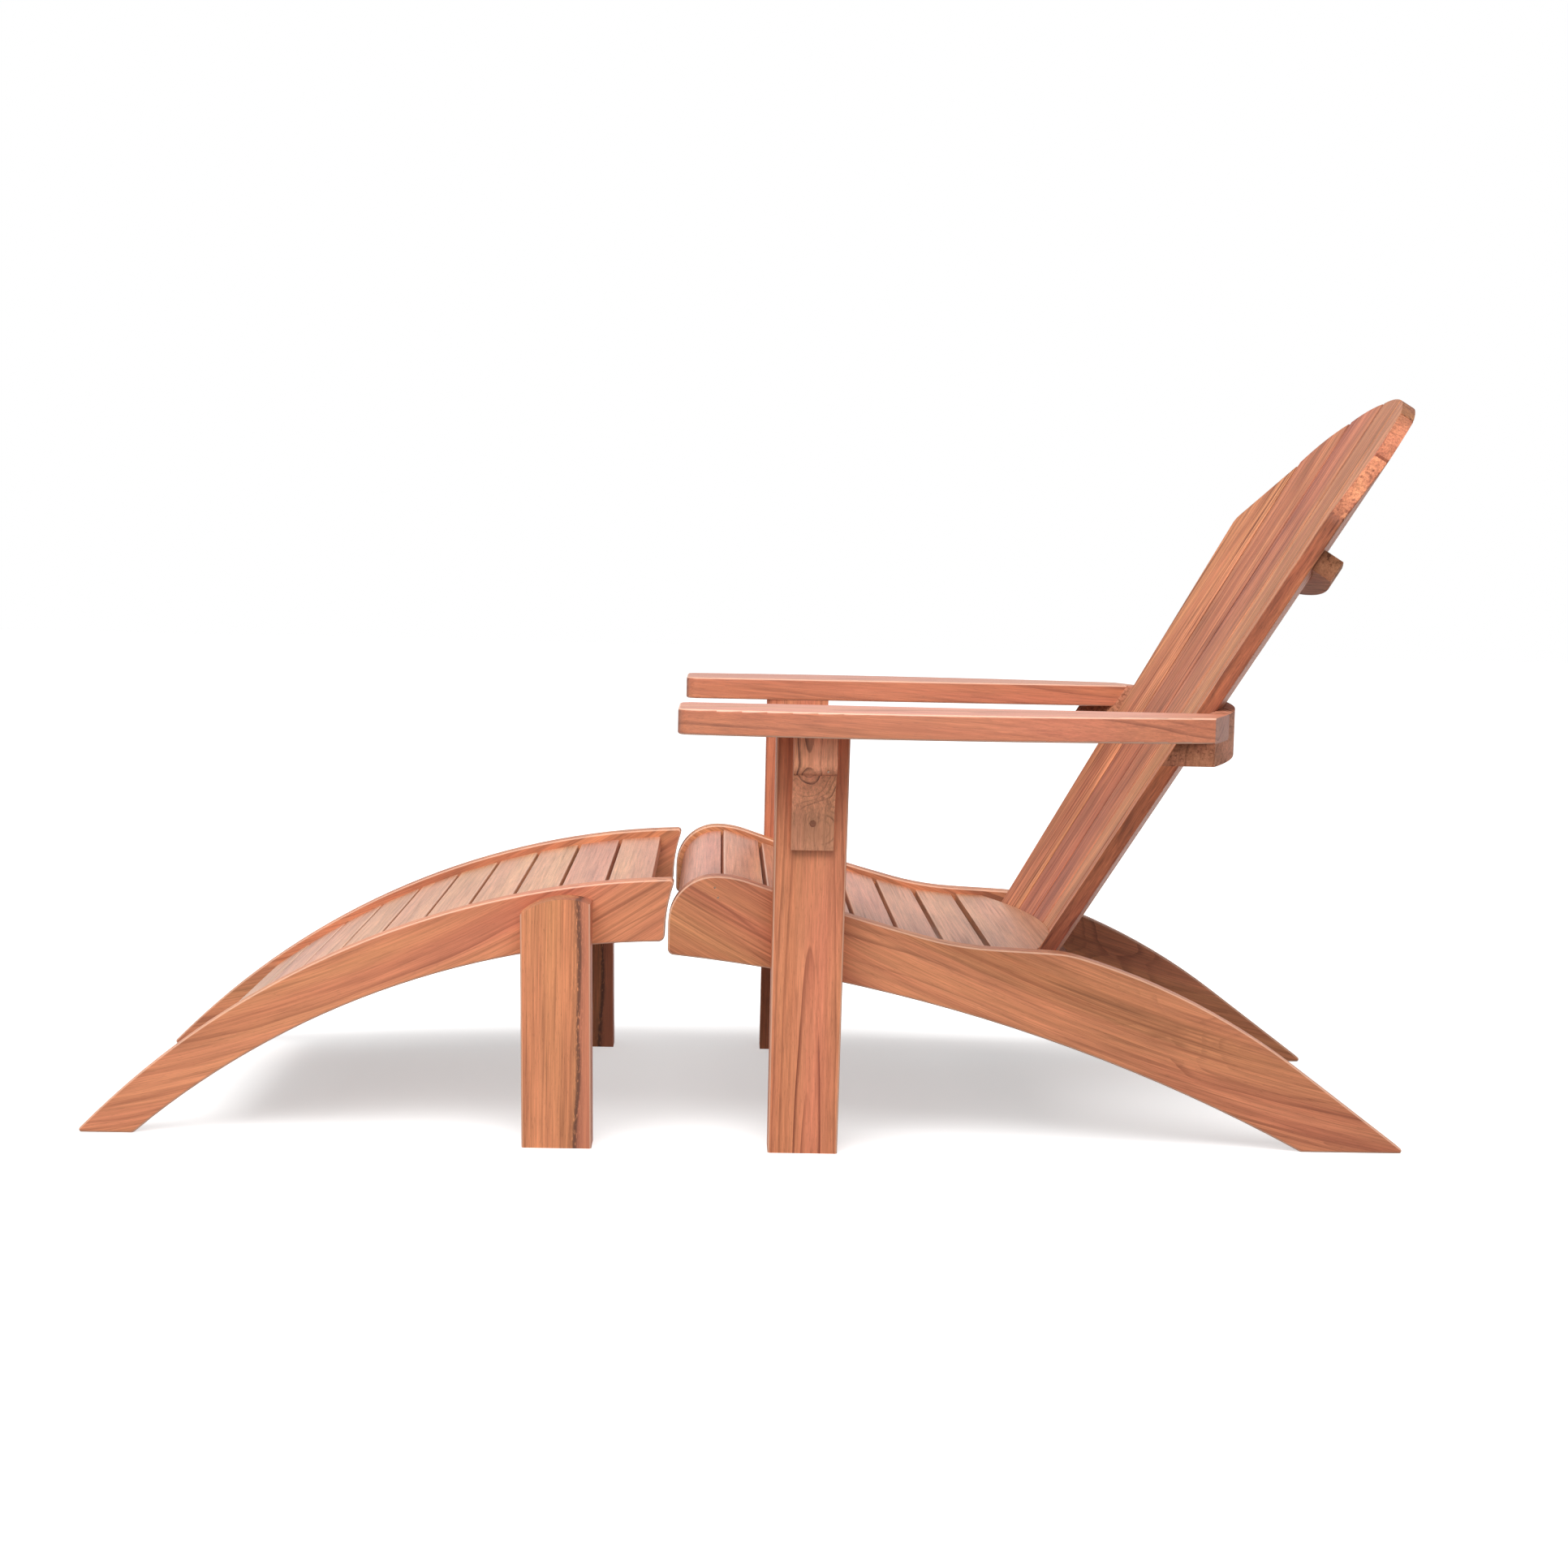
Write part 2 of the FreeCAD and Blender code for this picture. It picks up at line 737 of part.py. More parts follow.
def arch_station(y):
    radius = size("arch_radius")
    centre = size("back_length") - radius
    turning = arch_end()
    if abs(y) <= turning:
        return centre + math.sqrt(radius * radius - y * y)
    fall = turning / math.sqrt(radius * radius - turning * turning)
    return centre + math.sqrt(radius * radius - turning * turning) - fall * (abs(y) - turning)


def arch_end():
    # the arch turns into a straight shoulder at the outermost slats' inner edges
    share = 1 - 2 / size("back_slat_count")
    return share * half_width(size("back_length") - size("shoulder_fall"))


def top_station(share):
    station = size("back_length")
    for turn in range(SETTLING_TURNS):
        station = arch_station(share * half_width(station))
    return station


def back_slat(number):
    count = size("back_slat_count")
    low, high = (2 * number - 2 - count) / count, (2 * number - count) / count
    inset = size("back_slat_gap") / 2 / half_width(size("back_length") / 2)
    low, high = low + inset, high - inset
    foot = -size("back_foot")
    feet = (on_back(low, foot), on_back(high, foot))
    middle = (low + high) / 2
    across = (feet[1] - feet[0]).normalize()
    rise = on_back(low, size("back_length")) + on_back(high, size("back_length")) - feet[0] - feet[1]
    up = (rise - across * rise.dot(across)).normalize()
    origin = (feet[0] + feet[1]) / 2
    slat = doc.addObject("PartDesign::Body", "back_slat_%d_board" % number)
    slat.Placement = FreeCAD.Placement(origin, FreeCAD.Rotation(across, up, across.cross(up), "ZXY"))

    def flat(share, station):
        away = on_back(share, station) - origin
        return away.dot(across), away.dot(up)

    outline = Outline(*flat(low, foot)).line(*flat(high, foot))
    low_top, high_top = flat(low, top_station(low)), flat(high, top_station(high))
    if number == 1:
        outline.line(*high_top).rounded(low_top, flat(low, foot), size("shoulder_round"))
    elif number == count:
        outline.rounded(high_top, low_top, size("shoulder_round")).line(*low_top)
    else:
        outline.line(*high_top).arc(flat(middle, top_station(middle)), low_top)
    sketch = outline_sketch(slat, "back_slat_%d_face" % number, "XY_Plane", outline.close())
    pad(slat, sketch, "Sizes.back_slat_thickness")
    round_edges(slat, "Sizes.back_edge_round", lambda edge: runs_along(edge, ACROSS, LONG_EDGE))
    return slat, middle


back_slats = [back_slat(number) for number in range(1, int(size("back_slat_count")) + 1)]

# The three cross pieces behind the slats

brace_low = size("brace_station") - size("brace_height") / 2
brace_rear = size("back_slat_thickness") + size("brace_depth")
brace_box = doc.addObject("Part::Box", "brace_box")
brace_box.setExpression("Length", "2 * Sizes.brace_half_length")
brace_box.Width = brace_rear + BLANK_SPARE * hollow(brace_low)
brace_box.setExpression("Height", "Sizes.brace_height")
brace_box.Placement = back_frame(brace_low, brace_rear)
brace_box.Placement.Base -= ACROSS * size("brace_half_length")
brace_bow = doc.addObject("Part::Cylinder", "brace_bow")
brace_bow.Radius = back_circle(size("brace_station")) + brace_rear
brace_bow.setExpression("Height", "Sizes.brace_height")
brace_bow.Placement = back_frame(brace_low, -back_circle(size("brace_station")))
bowed_brace = boolean("Common", "bowed_brace", brace_box, brace_bow)
brace = boolean("Cut", "brace_on_slats", bowed_brace, slat_rear_form)

rear_of_slats = size("back_slat_thickness") / math.cos(lean)
arm_top_station = (size("arm_height") - back_origin.z) / math.cos(lean)
cross_rail_rear = back_origin.x + arm_top_station * math.sin(lean) + rear_of_slats
cross_rail_rear += size("cross_rail_top_depth")
cross_rail_low = size("arm_height") - size("cross_rail_height")
cross_box = doc.addObject("Part::Box", "cross_rail_box")
cross_blank = size("arm_outer_rear") / 2
cross_box.Length = cross_blank
cross_box.setExpression("Width", "2 * Sizes.arm_outer_rear")
cross_box.setExpression("Height", "Sizes.cross_rail_height")
cross_box.Placement.Base = Vector(cross_rail_rear - cross_blank, -size("arm_outer_rear"), cross_rail_low)
rear_bow = doc.addObject("Part::Cylinder", "rear_bow")
rear_bow.setExpression("Radius", "Sizes.cross_rail_rear_radius")
rear_bow.setExpression("Height", "Sizes.cross_rail_height")
rear_bow.Placement.Base = Vector(cross_rail_rear - size("cross_rail_rear_radius"), 0, cross_rail_low)
bowed_rail = boolean("Common", "bowed_cross_rail", cross_box, rear_bow)
cross_rail = boolean("Cut", "cross_rail_on_slats", bowed_rail, slat_rear_form)


def rear_bow_x(y):
    radius = size("cross_rail_rear_radius")
    return cross_rail_rear - radius + math.sqrt(radius * radius - y * y)


lower_box = doc.addObject("Part::Box", "lower_rail_box")
lower_box.setExpression("Length", "Sizes.lower_rail_depth")
lower_box.setExpression("Width", "Sizes.seat_width")
lower_box.setExpression("Height", "Sizes.lower_rail_height")
lower_low = lower_rail_top - size("lower_rail_height")
lower_box.Placement.Base = Vector(lower_rail_rear - size("lower_rail_depth"), -rail_inner, lower_low)
tenon_box = doc.addObject("Part::Box", "lower_rail_tenons")
tenon_box.setExpression("Length", "Sizes.lower_tenon_depth")
tenon_box.setExpression("Width", "Sizes.seat_width + 2 * Sizes.tenon_length")
tenon_box.setExpression("Height", "Sizes.lower_rail_height - 2 * Sizes.lower_tenon_margin")
tenon_box.Placement.Base = Vector(lower_rail_rear - size("lower_tenon_depth"),
                                  -rail_inner - size("tenon_length"),
                                  lower_low + size("lower_tenon_margin"))
lower_blank = boolean("Fuse", "lower_rail_blank", lower_box, tenon_box)
lower_rail = boolean("Cut", "lower_rail_on_slats", lower_blank, slat_rear_form)

# Front legs, arms and corbels


def left_leg(name, edges, thickness, inner, bolts):
    # its inner face lies on the side rail's outer face
    body = new_body(name, Vector(0, -inner, 0))
    pad(body, outline_sketch(body, name + "_outline", "XZ_Plane", edges), thickness)
    round_edges(body, "Sizes.leg_edge_round",
                lambda edge: mid_point(edge).y < -0.01 and edge.BoundBox.ZLength > LONG_EDGE)
    bolt_holes(body, name, bolts, size("insert_radius") + size("insert_clearance"), "Sizes.insert_length")
    return body


def dowel_holes(body, name, places, depth, offset=0, upwards=False):
    sketch = new_sketch(body, name + "_dowel_holes", "XY_Plane", offset)
    radius = size("dowel_radius") + size("insert_clearance")
    for x, y in places:
        sketch.addGeometry(Part.Circle(Vector(x, y, 0), Vector(0, 0, 1), radius), False)
    pocket(body, sketch, depth, backwards=upwards)


leg_edges = Outline(0, 0).line(size("leg_foot_width"), 0).line(size("leg_head_width"), leg_height)
leg_edges = leg_edges.line(0, leg_height).close()
leg_middle = size("leg_head_width") / 2
dowel_xs = [leg_middle + step * size("dowel_spacing") for step in (-0.5, 0.5)]
front_leg = left_leg("front_leg", leg_edges, "Sizes.leg_thickness", rail_outer, chair_bolts)
dowel_holes(front_leg, "front_leg", [(x, -size("leg_thickness") / 2) for x in dowel_xs],
            "Sizes.dowel_length - Sizes.dowel_arm_depth", leg_height)


def arm_plan():
    front, rear = -size("arm_overhang"), cross_rail_rear + size("arm_corner_radius")
    inner_front = (front, -size("arm_inner_front"))
    outer_front = (front, -size("arm_outer_front"))
    outer_middle = ((front + rear_bow_x(size("arm_outer_rear"))) / 2, -size("arm_outer_middle"))
    radius = size("arm_corner_radius")
    outline = Outline(rear, -size("arm_inner_rear"))
    outline.rounded(inner_front, outer_front, radius)
    outline.rounded(outer_front, outer_middle, radius)
    outline.arc(outer_middle, (rear_bow_x(size("arm_outer_rear")), -size("arm_outer_rear")))
    return outline.line(rear, -size("arm_outer_rear")).close()


arm_blank = new_body("arm_blank", Vector(0, 0, leg_height))
pad(arm_blank, outline_sketch(arm_blank, "arm_outline", "XY_Plane", arm_plan()), "Sizes.arm_thickness")
round_edges(arm_blank, "Sizes.arm_edge_round",
            lambda edge: edge.BoundBox.ZLength < 0.01 and mid_point(edge).x < cross_rail_rear)
dowel_holes(arm_blank, "arm", [(x, -rail_outer - size("leg_thickness") / 2) for x in dowel_xs],
            "Sizes.dowel_arm_depth", upwards=True)
arm = boolean("Common", "arm_cut_to_bow", arm_blank, rear_bow)

# each arm is let into the top of the cross rail
lap_plan = doc.addObject("Sketcher::SketchObject", "arm_lap_plan")
lap_plan.addGeometry(arm_plan(), False)
lap_plan.Placement.Base = Vector(0, 0, leg_height)
arm_lap = doc.addObject("Part::Extrusion", "arm_lap")
arm_lap.Base = lap_plan
arm_lap.DirMode = "Custom"
arm_lap.Dir = UP
arm_lap.setExpression("LengthFwd", "Sizes.arm_thickness")
arm_lap.Solid = True
doc.recompute()
cross_rail = boolean("Cut", "cross_rail_left_lap", cross_rail, arm_lap)
cross_rail = boolean("Cut", "cross_rail_both_laps", cross_rail, mirror(arm_lap, "right_arm_lap"))


def corbel_edges():
    # the left corbel stands out towards -Y
    reach, undercut = size("corbel_reach"), size("corbel_nose_undercut")
    radius, height = size("corbel_nose_radius"), size("corbel_height")
    chin = height - size("corbel_block_height")
    fall = math.sqrt(radius * radius - (radius - undercut) ** 2)
    cove_top = reach - undercut - size("corbel_step")
    bulge = math.asin(fall / radius) / 2
    outline = Outline(0, 0).line(-size("corbel_toe"), 0)
    outline.arc((-cove_reach(chin / 2), chin / 2), (-cove_top, chin)).line(undercut - reach, chin)
    outline.arc((radius * (1 - math.cos(bulge)) - reach, chin + fall - radius * math.sin(bulge)),
                (-reach, chin + fall))
    return outline.line(-reach, height).line(0, height).close()


def cove_reach(height_above_toe):
    # how far the cove stands out at a height, read off its arc
    toe, top = Vector(size("corbel_toe"), 0, 0), size("corbel_height") - size("corbel_block_height")
    cove_top = size("corbel_reach") - size("corbel_nose_undercut") - size("corbel_step")
    chord = Vector(cove_top, top, 0) - toe
    depth = size("corbel_cove_depth")
    radius = (chord.Length ** 2 / 4 + depth ** 2) / (2 * depth)
    outward = Vector(chord.y, -chord.x, 0).normalize()
    middle = toe + chord / 2 - outward * depth
    centre = middle + outward * radius
    return centre.x - math.sqrt(radius ** 2 - (height_above_toe - centre.y) ** 2)


corbel_low = leg_height - size("corbel_height")
plug_height = leg_height - size("plug_drop")
plug_reach = cove_reach(plug_height - corbel_low)
corbel_x = size("corbel_setback") + size("corbel_width") / 2
corbel = new_body("corbel_blank", Vector(size("corbel_setback"), -leg_outer, corbel_low))
pad(corbel, outline_sketch(corbel, "corbel_profile", "YZ_Plane", corbel_edges()), "Sizes.corbel_width")

# The footstool

stool_front = -size("nose_overhang") - size("stool_gap")
stool_line = Curve(stool_front, size("stool_end_bottom"), 90, way=-1)
stool_line.arc(size("stool_end_radius"), 90 + size("stool_end_sweep"))
stool_line.arc(size("stool_corner_radius"), -size("stool_top_slope"))
stool_top = stool_line.length()
stool_line.arc_to_floor(size("stool_top_radius"), size("foot_tip_radius"), -180)
stool_under = Curve(stool_front, size("stool_end_bottom"), -90, way=-1)
stool_under.arc(size("under_corner_radius"), -size("stool_under_slope"))
stool_under.arc_to_floor(size("stool_under_radius"), size("under_corner_radius"), 0)
stool_inner = size("stool_width") / 2
stool_outer = stool_inner + size("rail_thickness")
stool_bolts = leg_bolt_places(stool_front - size("stool_leg_reach") - size("stool_leg_width") / 2,
                              stool_under)
stool_slat_pitch = size("stool_slat_width") + size("stool_slat_gap")
stool_spots = []
for number in range(int(size("stool_slat_count"))):
    distance = stool_top + size("stool_first_slat") + size("stool_slat_width") / 2
    distance += number * stool_slat_pitch
    stool_spots.append(stool_line.spot(distance, size("stool_slat_drop") + size("slat_thickness") / 2))
stool_mortises = [spot + tenon for spot in stool_spots]

for number, spot in enumerate(stool_spots, start=1):
    slat_body("stool_slat_%d" % number, spot, "stool_slat_width", "stool_width")

leg_right = stool_front - size("stool_leg_reach") + size("stool_leg_lean")
leg_left = leg_right - size("stool_leg_width")


def below_stool_top(x, drop):
    return stool_line.height_at(x) - drop


crown = (leg_left + leg_right) / 2 - size("stool_leg_lean")
corner_drop = size("stool_leg_corner_drop")
top_left, top_right = leg_left - size("stool_leg_lean"), leg_right - size("stool_leg_lean")
stool_leg_edges = Outline(leg_left, 0).line(leg_right, 0)
stool_leg_edges.line(top_right, below_stool_top(top_right, corner_drop))
stool_leg_edges.arc((crown, below_stool_top(crown, size("stool_leg_crown_drop"))),
                    (top_left, below_stool_top(top_left, corner_drop)))
stool_leg_edges = stool_leg_edges.close()
stool_rail_edges = side_rail_edges(stool_line, stool_under)
keep_pair(left_rail("stool_rail", stool_inner, stool_rail_edges, stool_mortises, stool_bolts), "stool_rail")
stool_leg = left_leg("stool_leg", stool_leg_edges, "Sizes.stool_leg_thickness", stool_outer, stool_bolts)
keep_pair(stool_leg, "stool_leg")

# Bolts with washers and threaded inserts hold the legs, from inside each rail

grip = size("rail_thickness") + size("washer_thickness")
bolt = turned("leg_bolt", [
    (0, -size("bolt_head_height")), (size("bolt_head_radius"), -size("bolt_head_height")),
    (size("bolt_head_radius"), 0), (size("bolt_radius"), 0),
    (size("bolt_radius"), grip + size("bolt_grip")), (0, grip + size("bolt_grip"))])
bore = size("bolt_radius") + size("bolt_clearance")
washer = turned("bolt_washer", ring(bore, size("washer_radius"), size("washer_thickness")))
insert = turned("threaded_insert", ring(bore, size("insert_radius"), size("insert_length")))
for name, places, inner in (("leg", chair_bolts, rail_inner), ("stool_leg", stool_bolts, stool_inner)):
    seats = [(Vector(place.x, side * (inner - size("washer_thickness")), place.z), ACROSS * side)
             for place in places for side in SIDES]
    keep(gather(name + "_bolts", bolt, [pointing(*seat) for seat in seats]), name + "_bolts")
    keep(gather(name + "_bolt_washers", washer, [pointing(*seat) for seat in seats]),
         name + "_bolt_washers")
    keep(gather(name + "_bolt_inserts", insert,
                [pointing(place + way * grip, way) for place, way in seats]), name + "_bolt_inserts")

# Screws join the back slats to the cross pieces, the corbels to the legs and the arms to the rail

screw = turned("countersunk_screw", screw_profile(0, 0))
screw_hole = turned("countersunk_hole", screw_profile(size("screw_clearance"), HOLE_OVERRUN))


def screw_placements():
    # the screws of the upper two pieces are driven from behind, those of the lower rail from in front
    lower_station = (lower_rail_top - size("lower_screw_drop") - back_origin.z) / math.cos(lean)
    lower_station += size("back_slat_thickness") * math.tan(lean)
    cross_station = (arm_top_station + (cross_rail_low - back_origin.z) / math.cos(lean)) / 2
    back_face, front_face = [], []
    for slat, middle in back_slats:
        normal = slat.Placement.Rotation.multVec(UP)
        behind = normal * size("back_slat_thickness")
        for station in (cross_station, size("brace_station")):
            tip = on_back(middle, station) + behind - normal * size("screw_bite")
            back_face.append(pointing(tip, normal))
        head = on_back(middle, lower_station)
        front_face.append(pointing(head + normal * size("screw_length"), normal * -1))
    return back_face + front_face


back_screws = screw_placements()
keep(gather("back_slat_screws", screw, back_screws), "back_slat_screws")
back_holes = gather("back_slat_screw_holes", screw_hole, back_screws)
for number, (slat, middle) in enumerate(back_slats, start=1):
    node = "back_slat_%d" % number
    keep(boolean("Cut", node, slat, back_holes), node)
keep(boolean("Cut", "upper_back_brace", brace, back_holes), "upper_back_brace")
keep(boolean("Cut", "lower_back_rail", lower_rail, back_holes), "lower_back_rail")

lap_screws = []
for side in SIDES:
    for share in LAP_SCREW_SHARES:
        y = size("arm_inner_rear") + share * (size("arm_outer_rear") - size("arm_inner_rear"))
        x = rear_bow_x(y) - size("lap_screw_setback")
        tip = Vector(x, side * y, leg_height + size("screw_bite"))
        lap_screws.append(pointing(tip, UP * -1))
keep(gather("arm_lap_screws", screw, lap_screws), "arm_lap_screws")
lap_holes = gather("arm_lap_screw_holes", screw_hole, lap_screws)
cross_rail = boolean("Cut", "cross_rail_for_laps", cross_rail, lap_holes)
keep(boolean("Cut", "arm_cross_rail", cross_rail, back_holes), "arm_cross_rail")
keep_pair(boolean("Cut", "arm_drilled", arm, lap_holes), "armrest")

dowel = turned("dowel", rod(size("dowel_radius"), size("dowel_length")))
dowel_low = leg_height + size("dowel_arm_depth") - size("dowel_length")
keep(gather("arm_dowels", dowel,
            [pointing(Vector(x, side * (rail_outer + size("leg_thickness") / 2), dowel_low), UP)
             for side in SIDES for x in dowel_xs]), "arm_dowels")

plug = turned("wood_plug", rod(size("plug_radius"), size("plug_length")))
nail = turned("finishing_nail", rod(size("nail_radius"), size("nail_length")))
nail_hole = turned("nail_hole", rod(size("nail_radius") + size("screw_clearance") / 2, size("nail_length")))
screw_head_y = leg_outer + plug_reach - size("plug_length")
plugs, corbel_screws, corbel_nails, nose_nails = [], [], [], []
nail_z = leg_height - size("corbel_nail_drop")
for side in SIDES:
    out = ACROSS * side
    plugs.append(pointing(Vector(corbel_x, 0, plug_height) + out * screw_head_y, out))
    tip = Vector(corbel_x, 0, plug_height) + out * (screw_head_y - size("screw_length"))
    corbel_screws.append(pointing(tip, out))
    nail_x = corbel_x + size("corbel_nail_offset")
    nail_tip = leg_outer + size("corbel_reach") - size("nail_length")
    corbel_nails.append(pointing(Vector(nail_x, 0, nail_z) + out * nail_tip, out))
    for place in (front_nail, rear_nail):
        nose_nails.append(pointing(place + out * (rail_outer - size("nail_length")), out))
keep(gather("corbel_plugs", plug, plugs), "corbel_plugs")
keep(gather("corbel_screws", screw, corbel_screws), "corbel_screws")
corbel_holes = gather("corbel_screw_holes", screw_hole, corbel_screws)
keep(gather("finishing_nails", nail, corbel_nails + nose_nails), "finishing_nails")
nail_holes = gather("finishing_nail_holes", nail_hole, corbel_nails + nose_nails)
corbel = boolean("Cut", "corbel_for_screw", corbel, corbel_holes)
keep_pair(boolean("Cut", "corbel_for_nail", corbel, nail_holes), "arm_corbel")
keep_pair(boolean("Cut", "seat_rail_for_nails", seat_rail, nail_holes), "seat_rail")
keep_pair(boolean("Cut", "front_leg_for_screw", front_leg, corbel_holes), "front_leg")
keep(boolean("Cut", "seat_nose_slat_nailed", nose, nail_holes), "seat_nose_slat")

# The origin goes to the middle of the whole set, on the floor, and the pieces are written out

doc.recompute()
box = FreeCAD.BoundBox()
for piece in nodes.values():
    box.add(piece.Shape.optimalBoundingBox(False, False))
to_origin = FreeCAD.Placement(Vector(-(box.XMin + box.XMax) / 2, 0, 0), FreeCAD.Rotation())
for piece in nodes.values():
    if piece.TypeId != "Part::Mirroring":
        piece.Placement = to_origin * piece.Placement
doc.recompute()

for item in doc.Objects:
    if "Invalid" in item.State or "Error" in item.State:
        raise ValueError("%s has failed: %s" % (item.Label, item.State))
for node, piece in nodes.items():
    if piece.Shape.isNull() or not piece.Shape.isValid() or piece.Shape.Volume < 1:
        raise ValueError(node + " has no valid solid")

os.makedirs("parts", exist_ok=True)
for node, piece in nodes.items():
    piece.Shape.exportStep("parts/%s.step" % node)
print("%d pieces, moved by %.2f in X" % (len(nodes), to_origin.Base.x))
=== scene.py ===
import math

import bpy
import numpy as np
from mathutils import Matrix, Vector

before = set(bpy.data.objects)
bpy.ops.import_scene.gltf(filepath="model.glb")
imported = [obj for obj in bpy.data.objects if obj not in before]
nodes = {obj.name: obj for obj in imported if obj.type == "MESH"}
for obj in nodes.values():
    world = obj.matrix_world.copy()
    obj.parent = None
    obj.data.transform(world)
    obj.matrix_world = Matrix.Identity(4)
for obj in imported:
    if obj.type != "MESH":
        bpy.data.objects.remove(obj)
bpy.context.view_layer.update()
print("frame loaded:", len(nodes), "nodes")


def paint(red, green, blue):
    # screen values from 0 to 255, as the light values that Blender works with
    light = []
    for level in (red, green, blue):
        share = level / 255
        light.append(share / 12.92 if share < 0.0405 else ((share + 0.055) / 1.055) ** 2.4)
    return (*light, 1.0)


# small helpers for the node trees

def put(tree, kind, inputs=None, **settings):
    node = tree.nodes.new(kind)
    for key, value in settings.items():
        setattr(node, key, value)
    for key, value in (inputs or {}).items():
        feed(tree, value, node.inputs[key])
    return node


def feed(tree, value, socket):
    if isinstance(value, bpy.types.NodeSocket):
        tree.links.new(value, socket)
    else:
        socket.default_value = value


def calc(tree, operation, *values):
    node = put(tree, "ShaderNodeMath", dict(enumerate(values)), operation=operation)
    return node.outputs[0]


def product(tree, first, *others):
    for value in others:
        first = calc(tree, "MULTIPLY", first, value)
    return first


def stepUp(tree, value, low, high):
    # 0 at low, 1 at high, and smooth between them; high may be the smaller of the two
    ends = {0: value, 1: low, 2: high}
    return put(tree, "ShaderNodeMapRange", ends, interpolation_type="SMOOTHSTEP").outputs[0]


def blendColours(tree, share, first, second, mode="MIX"):
    inputs = {0: share, 6: first, 7: second}
    return put(tree, "ShaderNodeMix", inputs, data_type="RGBA", blend_type=mode).outputs[2]


def tinted(tree, share, colour, tint):
    # the colour darkened by a tint, where the share says so
    darker = blendColours(tree, 1.0, colour, paint(*tint), "MULTIPLY")
    return blendColours(tree, share, colour, darker)


def dot(tree, first, second):
    inputs = {0: first, 1: second}
    return put(tree, "ShaderNodeVectorMath", inputs, operation="DOT_PRODUCT").outputs["Value"]


def splitUp(tree, vector):
    return put(tree, "ShaderNodeSeparateXYZ", {0: vector}).outputs


def distance(tree, first, second):
    squares = [product(tree, value, value) for value in (first, second)]
    return calc(tree, "SQRT", calc(tree, "ADD", *squares))


def newGroup(name, ins, outs):
    group = bpy.data.node_groups.new(name, "ShaderNodeTree")
    for label, kind, value in ins:
        socket = group.interface.new_socket(label, in_out="INPUT", socket_type="NodeSocket" + kind)
        socket.default_value = value
    for label, kind in outs:
        group.interface.new_socket(label, in_out="OUTPUT", socket_type="NodeSocket" + kind)
    return group, put(group, "NodeGroupInput"), put(group, "NodeGroupOutput")


def grainNoise(tree, place, alongScale, acrossScale, detail=2.0, distortion=0.0):
    # noise drawn out along the board; the scales are waves per metre
    scales = (alongScale, acrossScale, acrossScale)
    spread = put(tree, "ShaderNodeCombineXYZ", {
        i: calc(tree, "MULTIPLY", place[i], scale) for i, scale in enumerate(scales)
    })
    noise = put(tree, "ShaderNodeTexNoise", {
        "Vector": spread.outputs[0], "Scale": 1.0, "Detail": detail, "Distortion": distortion,
    })
    return noise.outputs[0]


# what each board knows about its own wood, stored on its mesh
boardLabels = {"place": "woodPlace", "run": "woodRun", "face": "woodFace", "tone": "woodTone"}


def readBoard(tree, what):
    node = put(tree, "ShaderNodeAttribute", attribute_name=boardLabels[what])
    return node.outputs["Vector"]


# the cosines between the surface and the board's face or run at which each mask starts and ends
edgeSteps = {
    "leavesFace": (0.3, 0.6), "reachesFace": (0.985, 0.9), "narrowSide": (0.8, 0.35),
    "end": (0.72, 0.97), "notEnd": (0.6, 0.4),
}


def makeEdgeGroup():
    # masks for the eased arrises, the sawn ends and the board's two narrow sides
    outs = [("Arris", "Float"), ("End", "Float"), ("Side", "Float")]
    group, _, result = newGroup("boardEdges", [], outs)
    normal = put(group, "ShaderNodeTexCoord").outputs["Normal"]
    flat = calc(group, "ABSOLUTE", dot(group, normal, readBoard(group, "face")))
    run = calc(group, "ABSOLUTE", dot(group, normal, readBoard(group, "run")))
    turned = {"leavesFace": flat, "reachesFace": flat, "narrowSide": flat, "end": run, "notEnd": run}
    mask = {key: stepUp(group, turned[key], *ends) for key, ends in edgeSteps.items()}
    arris = product(group, mask["leavesFace"], mask["reachesFace"])
    feed(group, arris, result.inputs["Arris"])
    feed(group, mask["end"], result.inputs["End"])
    feed(group, product(group, mask["narrowSide"], mask["notEnd"]), result.inputs["Side"])
    return group


# the layers of the figure: waves per metre along and across, detail and distortion of the noise
grainLayers = {
    "sway": (2.6, 10.0, 2.0, 0.0),
    "ripple": (6.0, 60.0, 2.0, 0.0),
    "fading": (2.0, 34.0, 2.0, 0.0),
    "clouds": (1.3, 16.0, 3.0, 0.4),
    "bands": (0.8, 52.0, 2.0, 0.0),
    "thin": (3.2, 230.0, 3.0, 0.0),
    "patches": (2.4, 24.0, 2.0, 0.0),
    "fibre": (14.0, 900.0, 2.0, 0.0),
    "strands": (6.0, 330.0, 3.0, 0.0),
    "mottle": (9.0, 34.0, 2.0, 0.3),
    "hue": (1.7, 19.0, 2.0, 0.0),
    "dots": (95.0, 1150.0, 1.0, 0.0),
}
# where a layer's noise starts to show and where it shows in full
layerSteps = {
    "fading": (0.3, 0.62), "clouds": (0.32, 0.68), "bands": (0.34, 0.66),
    "thin": (0.46, 0.72), "patches": (0.36, 0.62), "dots": (0.6, 0.74),
}
# how much each of the fine layers lightens or darkens the wood
unevenShares = {"fibre": 0.8, "strands": 0.9, "mottle": 0.5}
